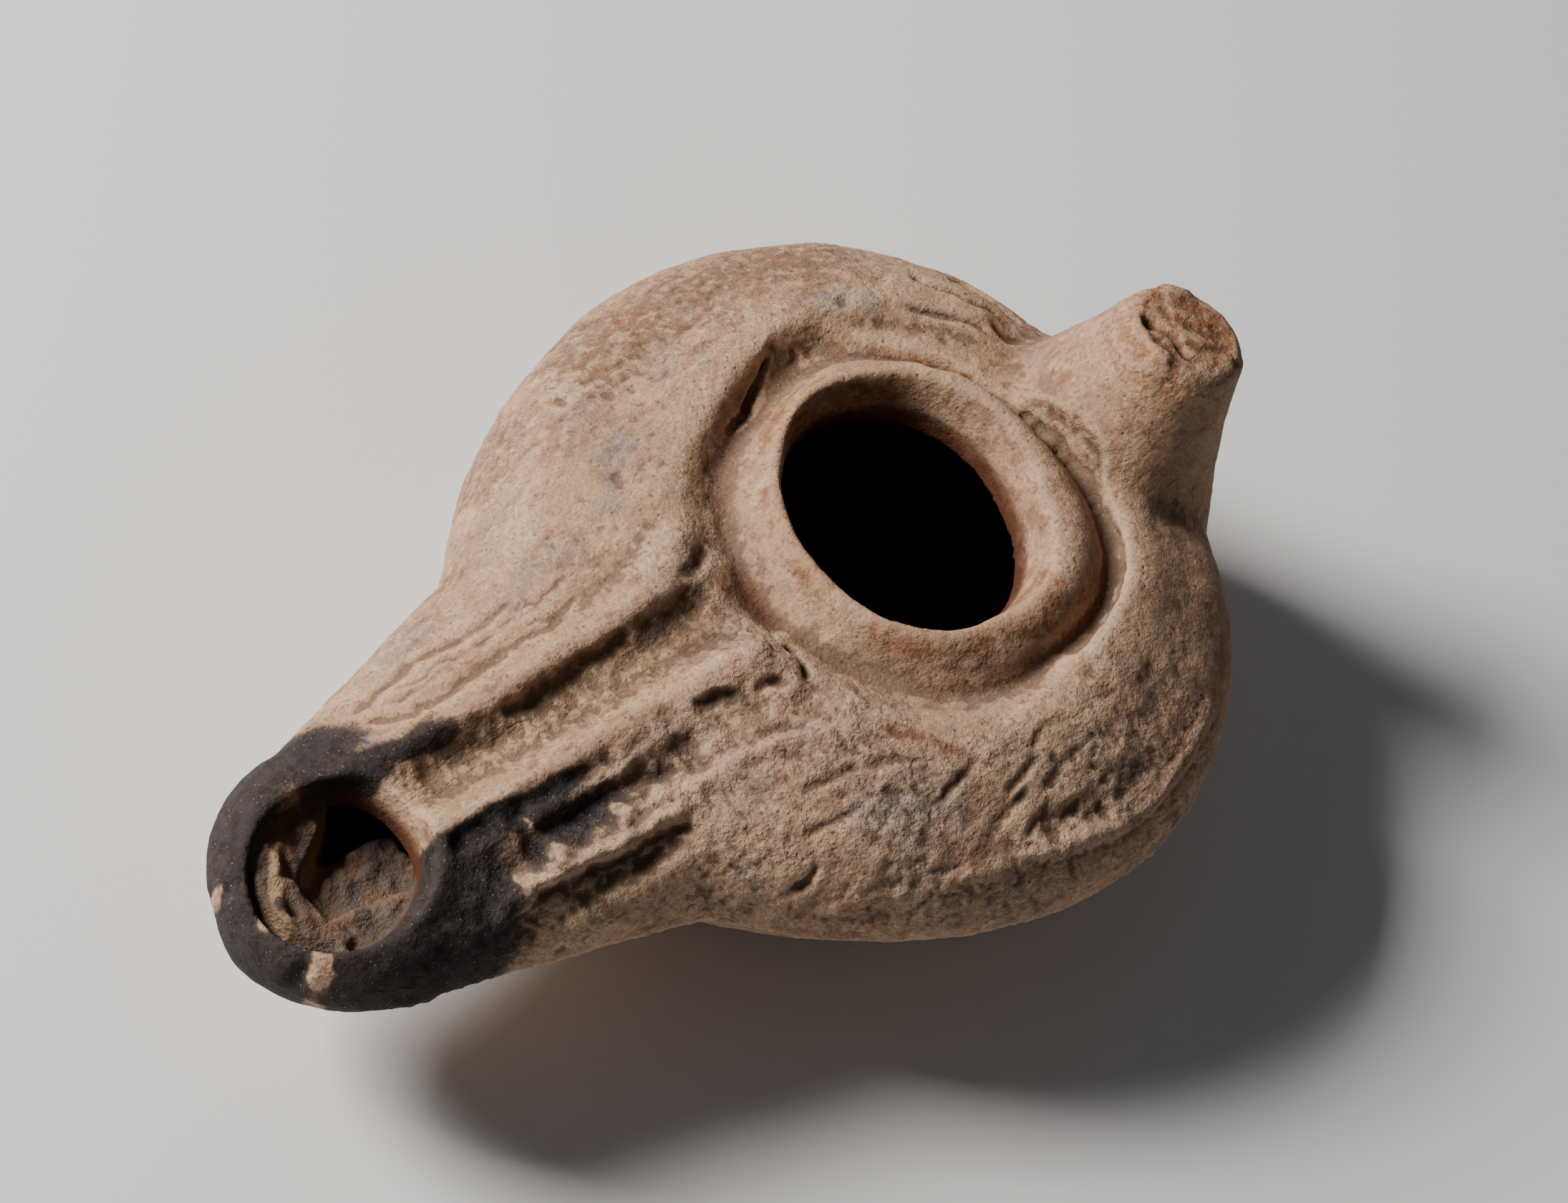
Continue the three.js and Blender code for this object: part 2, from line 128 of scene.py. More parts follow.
# Half width, depth (a minus sign cuts) and line of each rib and groove that the worn relief still has
NOZZLE_RELIEF = [
    (1.7, -0.3, [(-50, 3.0), (-45, 2.6), (-40, 2.4), (-34, 2.5), (-28, 2.4), (-22, 2.5), (-18.5, 3.2)]),
    (0.8, -0.35, [(-41, 3.1), (-37, 2.9), (-32, 3.1), (-27.5, 2.9)]),
    (0.5, -0.2, [(-50.2, 9.2), (-48.6, 8.0), (-46, 7.1), (-43, 6.9), (-40, 7.2), (-36, 7.3), (-31, 7.2)]),
    (0.5, -0.22,
        [(-50.2, 9.4), (-49.4, 10.3), (-47, 10.9), (-44, 11.2), (-41, 11), (-38, 10.6), (-33, 11.3)]),
    (0.35, -0.16, [(-48.4, 9.6), (-46.3, 8.8), (-43.6, 9.0), (-41, 8.6)]),
    (0.35, -0.16, [(-46.6, 10.4), (-44.8, 9.6), (-42.2, 9.8), (-39.4, 9.2)]),
    (0.35, -0.12, [(-40.4, 9.9), (-38.2, 9.2), (-35.6, 9.6), (-33.4, 8.8)]),
    (0.35, -0.12, [(-37, 8.2), (-34.4, 8.4), (-31.4, 7.8), (-28.6, 8.4)]),
    (0.35, -0.1, [(-35, 10.2), (-31.8, 9.9), (-28, 10.6)]),
    (1.6, 0.3, [(-49, 9.1), (-45, 9.0), (-41, 9.0)]),
    (1.2, -0.55, [(-52.5, -4.6), (-48, -4.3), (-44, -4.6), (-39, -5.0), (-35, -4.9)]),
    (0.9, 0.3, [(-43.5, -6.0), (-39, -6.1), (-34, -6.0), (-30, -5.7)]),
    (1.7, -0.8, [(-50.5, -7.9), (-46, -7.6), (-41, -7.4), (-36, -7.5), (-31.5, -7.9), (-28.5, -8.2)]),
    (0.6, -0.5, [(-44.5, -6.9), (-41, -7.2), (-37, -7.3), (-34, -7.6), (-31, -8.3)]),
    (0.9, 0.4, [(-50.4, -9.6), (-48.6, -9.0), (-47.2, -8.0)]),
    (1.0, 0.5, [(-45.8, -9.8), (-44.2, -8.9), (-42.6, -7.5)]),
    (0.8, 0.45, [(-42.0, -9.9), (-40.6, -9.0), (-39.6, -8.0)]),
    (1.0, 0.5, [(-39.6, -9.9), (-37.8, -9.0), (-36.2, -7.8)]),
    (0.8, 0.35, [(-35.4, -9.8), (-33.8, -9.0), (-32.8, -8.0)]),
    (0.5, -0.4, [(-43.2, -10.0), (-41.2, -9.0), (-39.6, -7.9)]),
    (0.4, -0.35, [(-39.9, -10.0), (-38.7, -9.2), (-37.6, -8.4)]),
    (1.0, 0.7, [(-52, -10.3), (-48, -10.1), (-44, -10.4), (-40, -10.8), (-36, -11.1), (-32.6, -11.0)]),
    (1.3, -0.8, [(-51, -11.6), (-48, -11.9), (-44, -12.2), (-40, -12.6), (-36, -12.9), (-33, -13.4)]),
    (0.5, -0.45, [(-48, -11.0), (-44, -11.3), (-40, -11.8), (-36, -12.1), (-33, -12.8)]),
    (0.7, -0.55, [(-28.6, -5.2), (-26.4, -5.5), (-24.3, -6.0), (-23, -6.4)]),
    (0.5, -0.5, [(-23, -6.4), (-21, -6.7), (-18.9, -8.0)]),
    (0.4, -0.8, [(-17.2, -5.0), (-17.0, -6.2), (-17.5, -7.6), (-18.6, -8.2)]),
    (1.4, 0.4, [(-23.5, -8.4), (-20.4, -8.6), (-18.6, -6.6), (-20.2, -4.8)]),
    (0.9, -0.4, [(-21.5, 4.6), (-19.2, 5.2), (-16.9, 6.6)]),
]
SHOULDER_RELIEF = [
    (0.5, -0.5, [(16.4, 4.4), (16.9, 2.6), (17.3, 0), (17.6, -3.4), (17.2, -6.6), (15.8, -9.9),
        (13.7, -12.7), (10.8, -15), (7.4, -16.6), (4, -17.3)]),
    (0.45, -0.8, [(-8, 14.2), (-6, 15.0), (-3.8, 15.9), (-1.6, 17.3), (0.4, 18.5)]),
    (1.3, -0.2, [(-5.5, 15.6), (-2, 17.2), (1.6, 18.7), (5, 18.9)]),
    (0.4, -0.45, [(2.4, 18.6), (2.9, 17.6), (2.0, 16.8)]),
    (0.4, -0.5, [(4.9, 18.2), (4.3, 17.5), (3.3, 17.3)]),
    (0.9, 0.5, [(3.0, 18.6), (4.4, 18.8)]),
    (0.6, -0.6, [(10.4, 10.6), (12.4, 9.6), (14.2, 8.2), (15.4, 6.4)]),
    (0.4, -0.4, [(13.5, 16.9), (16.2, 14.6), (18.4, 12.4), (19.8, 10.2)]),
    (0.6, -0.65, [(20.6, 12.2), (21.4, 10.2), (23.4, 8.8)]),
    (0.7, -0.75, [(19.0, 17.2), (21.4, 14.0), (23.6, 10.8)]),
    (0.7, -0.7, [(21.6, 18.4), (23.8, 14.8), (25.6, 11.4)]),
    (0.6, -0.6, [(17.2, 19.4), (19.4, 16.6), (21.0, 13.6)]),
    (0.6, -0.5, [(24.4, 17.8), (26.2, 14.2), (27.8, 11.0)]),
    (0.5, -0.24, [(-5.6, -22.9), (-3.4, -22.2), (-0.6, -21.4)]),
    (0.5, -0.25, [(-9.2, -24.6), (-6.4, -23.8), (-3.6, -23.2)]),
    (0.5, -0.16, [(-6.1, -25.8), (-3.4, -25.2), (-0.5, -24.4), (2.4, -24.0)]),
    (0.45, -0.22, [(-12.4, -26.2), (-9.4, -25.6), (-6.2, -25.0)]),
    (0.5, -0.14, [(-5.5, -28.5), (-3.2, -28.2), (-0.8, -27.7), (2.6, -26.6)]),
    (0.5, -0.14, [(-9.6, -28.0), (-6.4, -27.2), (-3.4, -26.6)]),
    (0.45, -0.3, [(-15.6, -22.4), (-12.6, -21.8), (-9.8, -21.2)]),
    (0.45, -0.3, [(-19.4, -16.4), (-16.8, -17.3), (-14.2, -18.6)]),
    (0.45, -0.26, [(-24.6, -15.4), (-21.6, -15.9), (-18.4, -16.0)]),
    (0.45, -0.26, [(-26.4, -18.2), (-23.2, -18.8), (-20.0, -19.0)]),
    (0.4, -0.45, [(-29.0, -20.5), (-27.4, -21.3), (-26.3, -21.0), (-25.9, -20.3)]),
    (0.35, -0.4, [(-24.9, -22.9), (-24.1, -23.2), (-23.4, -23.2)]),
    (0.35, -0.4, [(-20.4, -25.8), (-19.2, -26.4), (-18.3, -26.6)]),
    (0.9, 0.3, [(-33, -10.6), (-28, -10.2), (-23, -11.6), (-18.5, -12.4)]),
    (0.4, -0.3, [(-18.6, 25.4), (-17.4, 25.2), (-16.8, 25.7)]),
]
END_RELIEF = [
    (0.5, -0.6, [(25.2, 1.8), (26, 0.2), (26.3, -1.6), (26.0, -3.2), (26.8, -4.4)]),
    (2.0, -0.35, [(29.5, -3.6), (31.6, -1.0), (31.4, 2.2)]),
    (0.8, 0.4, [(23.6, -3.4), (23.4, -0.4), (24.2, 2.4)]),
]
# The two ridges of crust in the wick hole
CAKE = [
    [(-60.6, 5.2), (-62.4, 3.2), (-64.0, 1.0), (-64.9, -0.8), (-65.0, -2.8)],
    [(-55.4, 4.3), (-57.8, 2.7), (-60.6, 1.2)],
]
# Relief round the side, as half width, depth and line
SIDE_RELIEF = [
    (1.0, 0.4, EDGE_RIDGE),
    (1.2, -0.4, [(7.0, -27.6, 24.6), (2.0, -28.9, 24.6), (-3.5, -28.6, 24.8), (-8.4, -27.6, 24.9)]),
    (0.3, -0.3, [(22.6, -22.6, 21.0), (17.0, -26.6, 20.6), (10.4, -30.0, 20.2)]),
    (0.5, -0.4, [(-9, -31.4, 19.0), (-15, -29.4, 19.0), (-20.6, -26.4, 19.0)]),
]
# Middle, radius and depth of each chip and pit
PITS = [
    ((-45.0, -5.3), 1.3, -0.3), ((-17.2, 24.8), 0.8, -0.45), ((-0.8, -29.6), 1.1, -0.35),
    ((-6.2, -29.4), 1.2, -0.4), ((2.2, -27.8), 1.2, -0.25), ((-3.2, -24.4), 0.9, -0.2),
    ((-16.9, -4.9), 0.8, -0.6), ((-48.6, -12.0), 1.0, -0.3), ((-66.5, -5.4), 1.2, -0.4),
    ((-66.6, 3.4), 1.1, -0.35), ((9.2, 19.3), 1.2, -0.3), ((-19.6, 15.3), 1.4, -0.2),
]


# Plain helpers
def clamp01(value):
    return np.clip(value, 0, 1)


def mix(a, b, share):
    return a + (b - a) * share


def smooth(start, end, value):
    """0 at start and 1 at end, with a smooth change between"""
    t = clamp01((value - start) / (end - start))
    return t * t * (3 - 2 * t)


def round_end(past, length):
    return np.sqrt(clamp01(1 - (np.maximum(past, 0) / length) ** 2))


def soft_least(a, b, width):
    """The lesser of two heights, with their crossing rounded over width"""
    share = clamp01(0.5 + 0.5 * (b - a) / width)
    return mix(b, a, share) - width * share * (1 - share)


# The plain outline of the body
def half_width(x, inset=0.0):
    """Half the lamp's width at x, inset from the outside"""
    body_reach = np.where(x > 0, BODY_BACK, BODY_FRONT) - inset
    body = (BODY_WIDTH / 2 - inset) * round_end(np.abs(x), body_reach)
    tip = NOZZLE_TIP_RADIUS - inset
    tip_centre = NOZZLE_TIP_RADIUS - NOZZLE_REACH
    along = np.maximum(0, (x - tip_centre) / (NOZZLE_ROOT_X - tip_centre))
    nozzle = mix(tip, NOZZLE_ROOT_HALF_WIDTH - inset, along) * round_end(tip_centre - x, tip)
    nozzle = nozzle * (1 - smooth(-BODY_FRONT, NECK_END_X, x))
    return (body ** NECK_SHARPNESS + nozzle ** NECK_SHARPNESS) ** (1 / NECK_SHARPNESS)


def tip_round(x, inset):
    length = 0.75 * NOZZLE_TIP_RADIUS
    return round_end(-x - (NOZZLE_REACH - inset) + length, length)


def crown_rise(x, inset=0.0):
    back = BODY_BACK - inset
    rise = mix(NOZZLE_RISE, CROWN_RISE, smooth(-0.8 * NOZZLE_REACH, -0.5 * BODY_FRONT, x)) - inset
    return rise * tip_round(x, inset) * round_end(x - back / 3, 2 * back / 3)


def keel_depth(x, inset=0.0):
    front = FOOT_X - FOOT_LENGTH / 2
    toe = FOOT_X + 0.45 * FOOT_LENGTH
    back = BODY_BACK - inset
    deepening = smooth(front - 0.42 * NOZZLE_REACH, front + 0.2 * FOOT_LENGTH, x)
    depth = mix(NOZZLE_DEPTH, SEAM_HEIGHT, deepening) - inset
    return depth * tip_round(x, inset) * round_end(x - toe, back - toe)


def crown(x, y, inset=0.0):
    """Height of the plain upper half"""
    u = clamp01(np.abs(y) / np.maximum(half_width(x, inset), 1e-6))
    return SEAM_HEIGHT + crown_rise(x, inset) * np.sqrt(1 - u ** 4)


def keel(x, y, inset=0.0):
    """Height of the plain lower half"""
    u = clamp01(np.abs(y) / np.maximum(half_width(x, inset) - (SEAM_LIP if inset == 0 else 0), 1e-6))
    return np.maximum(FOOT_HEIGHT + inset, SEAM_HEIGHT - keel_depth(x, inset) * (1 - u * u) ** BOWL_POWER)


# Noise for wear and dirt
def hashed(cell, seed):
    """A value from -1 to 1 for each cell of a grid, the same in every run"""
    h = (cell[:, 0] * 73856093) ^ (cell[:, 1] * 19349663) ^ (cell[:, 2] * 83492791) ^ (seed * 97531)
    h = ((h ^ (h >> 13)) * 1274126177) & 0xFFFFFFFF
    h = ((h ^ (h >> 15)) * 2246822519) & 0xFFFFFFFF
    return ((h ^ (h >> 16)) & 0xFFFF) / 32767.5 - 1


# Turns the noise's grid away from the lamp's own axes
TURN = np.array(Matrix.Rotation(0.9, 3, Vector((0.4, 0.7, 0.6))))


def lumps(points, size, seed):
    """Smooth noise from -1 to 1, with lumps about size millimetres apart"""
    place = points @ TURN.T / size
    cell = np.floor(place).astype(np.int64)
    part = place - cell
    part = part ** 3 * (part * (part * 6 - 15) + 10)
    total = np.zeros(len(points))
    for corner in itertools.product((0, 1), repeat=3):
        weight = np.prod(np.where(corner, part, 1 - part), axis=1)
        total += weight * hashed(cell + np.array(corner), seed)
    return total


def rough(points, size, seed, octaves=3):
    """Lumps with finer and weaker lumps on them"""
    return sum(lumps(points, size / 2 ** i, seed + 31 * i) / 2 ** i for i in range(octaves)) / 1.5


# Ribs, grooves and bands along a curve
def curve_through(points, step=0.7):
    """Points close together on a smooth curve through the given ones"""
    p = np.array(points, float)
    p = np.vstack([2 * p[0] - p[1], p, 2 * p[-1] - p[-2]])
    out = []
    for a, b, c, d in zip(p, p[1:], p[2:], p[3:]):
        count = max(2, int(np.linalg.norm(c - b) / step))
        t = np.arange(count)[:, None] / count
        bend = (2 * a - 5 * b + 4 * c - d) * t ** 2
        twist = (3 * b - a - 3 * c + d) * t ** 3
        out.append(0.5 * (2 * b + (c - a) * t + bend + twist))
    return np.vstack(out + [p[-2:-1]])


def from_line(points, line, reach):
    """Distance from a curve, at most reach, how far along it, its length, and if a point is on its left"""
    track = curve_through(line)
    size = track.shape[1]
    places = points[:, :size]
    near = np.flatnonzero(((places > track.min(0) - reach) & (places < track.max(0) + reach)).all(1))
    distance = np.full(len(points), float(reach))
    along = np.zeros(len(points))
    left = np.zeros(len(points), bool)
    steps = np.linalg.norm(np.diff(track, axis=0), axis=1)
    start = np.concatenate([[0], np.cumsum(steps)])
    for i, (a, b) in enumerate(zip(track, track[1:])):
        leg = b - a
        t = clamp01((places[near] - a) @ leg / (leg @ leg))
        offset = places[near] - a - t[:, None] * leg
        d = np.linalg.norm(offset, axis=1)
        closer = d < distance[near]
        distance[near[closer]] = d[closer]
        along[near[closer]] = start[i] + t[closer] * steps[i]
        left[near[closer]] = (leg[0] * offset[:, 1] > leg[1] * offset[:, 0])[closer]
    return distance, along, start[-1], left


def rib(points, line, right, left, fade=3.0):
    """1 on a curve, falling to 0 at a reach of its own on either side, and fading out at its ends"""
    distance, along, length, on_left = from_line(points, line, max(right, left))
    ends = smooth(0, fade, along) * smooth(0, fade, length - along)
    return (1 - clamp01(distance / np.where(on_left, left, right)) ** 2) ** 2 * ends


def band(points, line, half, fade=2.0):
    return rib(points, line, half, half, fade)


# The worn form of the lamp
def hole_radius(angle):
    """The filling hole's worn edge: longer one way and drawn in at the front left"""
    oval = 0.6 * np.cos(2 * (angle - 1.19))
    shifted = 0.65 * np.cos(angle - 0.52)
    return HOLE_RADIUS + oval + shifted + 0.12 * np.sin(5 * angle)


def ring_foot(turn):
    """Radius where the filling hole's ring meets the dish: wide at the back right, drawn in at the left"""
    wide = RING_FOOT_RADIUS + 0.2 + 1.9 * np.exp(-((turn + 36) / 34) ** 2)
    return wide - 2.0 * smooth(60, 110, turn) - 2.0 * smooth(-100, -140, turn)


def top_form(x, y):
    """Height of the upper half with its dish, ring, channel and ridges"""
    shape = x.shape
    places = np.stack([x.ravel(), y.ravel(), np.zeros(x.size)], 1)
    height = crown(places[:, 0], places[:, 1])
    px, py = places[:, 0], places[:, 1]
    edge = smooth(0, 4, half_width(px) - np.abs(py))
    radius = np.hypot(px, py)
    angle = np.arctan2(py, px)
    turn = np.degrees(angle)
    hole = hole_radius(angle)
    right_side = smooth(-95, -60, turn) * smooth(75, 35, turn)
    foot_radius = ring_foot(turn)
    foot = DISH_HEIGHT - 0.7 * right_side
    dish = np.hypot(px - DISH_X, py) * (1 + 0.03 * smooth(80, 100, turn) * smooth(140, 120, turn))
    climb = DISH_WALL * np.maximum(dish - DISH_FLOOR_RADIUS, 0)
    wall = DISH_HEIGHT + climb / (DISH_RADIUS - DISH_FLOOR_RADIUS)
    wall = mix(wall, foot + 2.6 * np.maximum(radius - foot_radius, 0), right_side)
    height = soft_least(height, wall, 0.6)
    run, along, _, _ = from_line(places, CHANNEL, CHANNEL_HALF_WIDTH)
    height -= CHANNEL_DEPTH * (1 - (run / CHANNEL_HALF_WIDTH) ** 2) * smooth(0, 4, along)
    ridges = np.maximum.reduce([
        0.8 * rib(places, LEFT_RIDGE, 3.0, 3.6, 5),
        mix(1, 0.3, smooth(112, 135, turn)) * rib(places, LEFT_EDGE, 3.4, 8, 6),
        0.95 * rib(places, RIGHT_RIDGE, 4.2, 3.1),
        0.6 * rib(places, RIGHT_EDGE, 5.5, 4, 4),
        1.15 * rib(places, BACK_LIP, 7, 1.5, 4)])
    height += RIDGE_HEIGHT * ridges * edge
    rim = np.hypot((px + 60.1) / 7.3, (py + 0.4) / 7.0)
    funnel = mix(17.6, 23.4, smooth(0.72, 1.04, rim)) + 20 * np.maximum(rim - 1.04, 0)
    height = soft_least(height, funnel, 0.9)
    crest_radius = hole + 1.2 + 1.0 * right_side
    crest = RING_HEIGHT + 0.2 * np.sin(angle * 2 + 1) + 0.12 * np.sin(angle * 5)
    past = np.clip((radius - crest_radius) / (foot_radius - crest_radius), 0, 4)
    outer = crest - (crest - foot) * past ** mix(1.7, 2.3, right_side)
    drop = RING_DROP * mix(0.75, 1, right_side)
    inner = crest - drop * clamp01((crest_radius - radius) / (crest_radius - hole)) ** 1.9
    gentle = 0.5 + 1.5 * smooth(88, 125, turn) + 1.5 * smooth(-95, -130, turn)
    height = np.where(radius < crest_radius, inner, -soft_least(-height, -outer, gentle))
    return height.reshape(shape)


def soil_top(x, y):
    """Height of the soil and crust that still cling in the nozzle under the wick hole"""
    places = np.stack([x.ravel(), y.ravel(), np.zeros(x.size)], 1)
    px, py = places[:, 0], places[:, 1]
    beside = smooth(-0.8, 1.6, py - 1 - 0.6 * (px + 60.4)) * smooth(-53.5, -56, px)
    shelf = mix(12, 20.9, np.maximum(smooth(-58.6, -62.6, px), 0.94 * beside))
    ledge = mix(12, 20.2, smooth(-1.2, -3.6, py + 0.12 * (px + 58))) * smooth(-48.5, -52.5, px)
    soil = mix(9, 17.4, smooth(-46.5, -51.5, px) * smooth(5.2, 1.6, py))
    height = np.maximum.reduce([shelf, ledge, soil])
    bent = places + 0.5 * np.stack([rough(places, 1.6, 93), rough(places, 1.6, 94), 0 * px], 1)
    height += 0.8 * band(bent, CAKE[0], 0.7, 1.2) + 0.9 * band(bent, CAKE[1], 0.7, 0.8)
    height += 0.5 * rough(places, 2.6, 91) + 0.7 * rough(places, 1.0, 92)
    height *= smooth(-42, -46, px)
    covered = smooth(6, 7.5, np.hypot(px - WICK_X, py))
    roof = crown(px, py, 0.6 * WALL) + 3 * (1 - covered)
    return np.minimum(height, roof).reshape(x.shape)


def low_form(x, y):
    """Height of the lower half with its foot"""
    height = keel(x, y)
    spread = np.hypot((x - FOOT_X) / (FOOT_LENGTH / 2), y / (FOOT_WIDTH / 2))
    return np.minimum(height, mix(0, FOOT_HEIGHT + 0.01, smooth(0.95, 1.03, spread)) + 40 * (spread > 1.03))


# The solids
def object_from(name, points, faces):
    mesh = bpy.data.meshes.new(name)
    mesh.from_pydata(points.tolist(), [], faces)
    made = bpy.data.objects.new(name, mesh)
    bpy.context.scene.collection.objects.link(made)
    return made


def wrapped_skin(name, rows):
    """A closed skin over rows of points; each row is a loop, and the first and last close to a point"""
    count = rows.shape[1]
    points = np.vstack([rows[0, :1], rows[1:-1].reshape(-1, 3), rows[-1, :1]])
    last = len(points) - 1
    column = np.arange(count)
    following = (column + 1) % count
    faces = [(0, 1 + j, 1 + k) for j, k in zip(column, following)]
    for i in range(rows.shape[0] - 3):
        low, high = 1 + i * count, 1 + (i + 1) * count
        faces += [(low + j, high + j, high + k, low + k) for j, k in zip(column.tolist(), following.tolist())]
    low = 1 + (rows.shape[0] - 3) * count
    faces += [(last, low + k, low + j) for j, k in zip(column, following)]
    return object_from(name, points, [tuple(int(v) for v in f) for f in faces])


def shell(name, inset, stations, across, top, low):
    """The lamp's loft from nozzle tip to back: loops that run over the top and back underneath"""
    t = (1 - np.cos(np.linspace(0, np.pi, stations))) / 2
    x = mix(-(NOZZLE_REACH - inset), BODY_BACK - inset, t)[:, None]
    over = -np.cos(np.linspace(0, np.pi, across))[None]
    under = np.cos(np.linspace(0, np.pi, across // 2))[None]
    if inset:
        under = under[:, 1:-1]
    wide = half_width(x, inset)
    lip = SEAM_LIP if inset == 0 else 0
    upper = np.stack(np.broadcast_arrays(x, wide * over, 0.0), -1)
    lower = np.stack(np.broadcast_arrays(x, np.maximum(wide - lip, 0) * under, 0.0), -1)
    upper[..., 2] = top(upper[..., 0], upper[..., 1])
    lower[..., 2] = low(lower[..., 0], lower[..., 1])
    rows = np.concatenate([upper, lower], 1)
    rows[0] = rows[0].mean(0)
    rows[-1] = rows[-1].mean(0)
    return wrapped_skin(name, rows)


def turned(name, profile, sides, middle=(0, 0), spread=None):
    """A solid turned about an upright axis from radius and height pairs that start and end on the axis"""
    angle = np.linspace(2 * np.pi, 0, sides, endpoint=False)
    share = np.ones(sides) if spread is None else spread(angle)
    rows = [np.stack([middle[0] + r * share * np.cos(angle), middle[1] + r * share * np.sin(angle),
        np.full(sides, z)], 1) for r, z in profile]
    return wrapped_skin(name, np.array(rows, float))


def handle_solid():
    """The solid lug: a cone that flares at its root, leaning back, with a flat worn end"""
    edge = 0.3 * HANDLE_TOP_RADIUS
    root = 1.45 * WALL
    profile = [(0, -root), (0.6 * HANDLE_FOOT_RADIUS, -root), (0.88 * HANDLE_FOOT_RADIUS, -0.4 * root)]
    for t in np.linspace(0, 1, 40):
        radius = mix(HANDLE_TOP_RADIUS, HANDLE_FOOT_RADIUS, (1 - t) ** HANDLE_FLARE_POWER)
        profile.append((radius, t * (HANDLE_LENGTH - edge)))
    for turn in np.radians([25, 50, 75]):
        profile.append((HANDLE_TOP_RADIUS - edge * (1 - np.cos(turn)),
            HANDLE_LENGTH - edge + edge * np.sin(turn)))
    profile += [(0.55 * HANDLE_TOP_RADIUS, HANDLE_LENGTH), (0, HANDLE_LENGTH)]
    lug = turned("handle", profile, 96)
    foot = Matrix.Translation((HANDLE_X, HANDLE_Y, HANDLE_FOOT_HEIGHT))
    lug.data.transform(foot @ Matrix.Rotation(HANDLE_LEAN, 4, "Y"))
    points = points_of(lug.data)
    reach = np.hypot(points[:, 0], points[:, 1])
    least = ring_foot(np.degrees(np.arctan2(points[:, 1], points[:, 0]))) + 0.1
    points[:, :2] *= np.maximum(1, least / reach)[:, None]
    set_points(lug.data, points)
    return lug


def combined(body, steps, grain):
    """The mesh of the body with each cutter and addition applied, rebuilt as an even skin"""
    for operation, other in steps:
        cut = body.modifiers.new(other.name, "BOOLEAN")
        cut.operation = operation
        cut.object = other
        cut.solver = "MANIFOLD"
    even = body.modifiers.new("even", "REMESH")
    even.mode = "VOXEL"
    even.voxel_size = grain
    even.adaptivity = 0
    shown = body.evaluated_get(bpy.context.evaluated_depsgraph_get())
    mesh = bpy.data.meshes.new_from_object(shown)
    for item in [body] + [other for _, other in steps]:
        bpy.data.objects.remove(item)
    return mesh


def points_of(mesh):
    flat = np.empty(len(mesh.vertices) * 3, np.float32)
    mesh.vertices.foreach_get("co", flat)
    return flat.reshape(-1, 3).astype(float)


def normals_of(mesh):
    flat = np.empty(len(mesh.vertices) * 3, np.float32)
    mesh.vertex_normals.foreach_get("vector", flat)
    return flat.reshape(-1, 3).astype(float)


def edges_of(mesh):
    flat = np.empty(len(mesh.edges) * 2, np.int32)
    mesh.edges.foreach_get("vertices", flat)
    return flat.reshape(-1, 2)


def neighbour_mean(values, edges):
    """The mean of each point's neighbours"""
    count = np.bincount(edges.ravel(), minlength=len(values))
    total = np.empty_like(values)
    for k in range(values.shape[1]):
        total[:, k] = np.bincount(edges[:, 0], values[edges[:, 1], k], len(values))
        total[:, k] += np.bincount(edges[:, 1], values[edges[:, 0], k], len(values))
    return total / np.maximum(count, 1)[:, None]


def set_points(mesh, points):
    mesh.vertices.foreach_set("co", points.astype(np.float32).ravel())
    mesh.update()


def buried(points):
    """How deep each point lies inside the closed outline of the body, from 0 at the skin"""
    x, y, z = points.T
    wide = half_width(np.clip(x, -NOZZLE_REACH, BODY_BACK))
    return np.minimum(np.minimum(crown(x, y) - z, z - keel(x, y)), wide - np.abs(y))


def make_clay():
    """The hollow lamp with its handle and the soil in its nozzle, before any wear"""
    body = shell("outside", 0.0, 400, 240, top_form, low_form)
    chamber = shell("chamber", WALL, 90, 48, lambda x, y: crown(x, y, WALL), lambda x, y: keel(x, y, WALL))
    hole = turned("filling", [(0, 15), (1, 15), (1, 40), (0, 40)], 160, spread=hole_radius)
    flare = WICK_RADIUS + WICK_FLARE
    wick = turned("wick", [(0, 14), (WICK_RADIUS, 14), (WICK_RADIUS, WICK_RIM_HEIGHT - 3),
        (flare, WICK_RIM_HEIGHT), (flare + 0.6, 30), (0, 30)], 96, (WICK_X, 0))
    middle = 0.55 * WALL
    soil = shell("soil", middle, 420, 100, lambda x, y: np.maximum(soil_top(x, y), keel(x, y, middle) + 0.3),
        lambda x, y: keel(x, y, middle))
    return combined(body, [("UNION", handle_solid()), ("DIFFERENCE", chamber), ("DIFFERENCE", hole),
        ("DIFFERENCE", wick), ("UNION", soil)], GRAIN)


# Wear on the finished skin
def spot(points, middle, radius):
    """1 at a place, falling to 0 at radius from it"""
    middle = np.array(middle, float)
    distance = np.linalg.norm(points[:, :len(middle)] - middle, axis=1)
    return (1 - clamp01(distance / radius) ** 2) ** 2


def flaked(points, size, seed, edge=0.14):
    """Flakes with short steep edges, from 0 to 1"""
    return smooth(-edge, edge, rough(points, size, seed, 4))


def drawn_out(points, angle, length):
    """Points squeezed along a direction in plan, so that noise on them runs in strokes that way"""
    along = np.array([np.cos(angle), np.sin(angle), 0])
    return points + ((1 / length - 1) * (points @ along))[:, None] * along


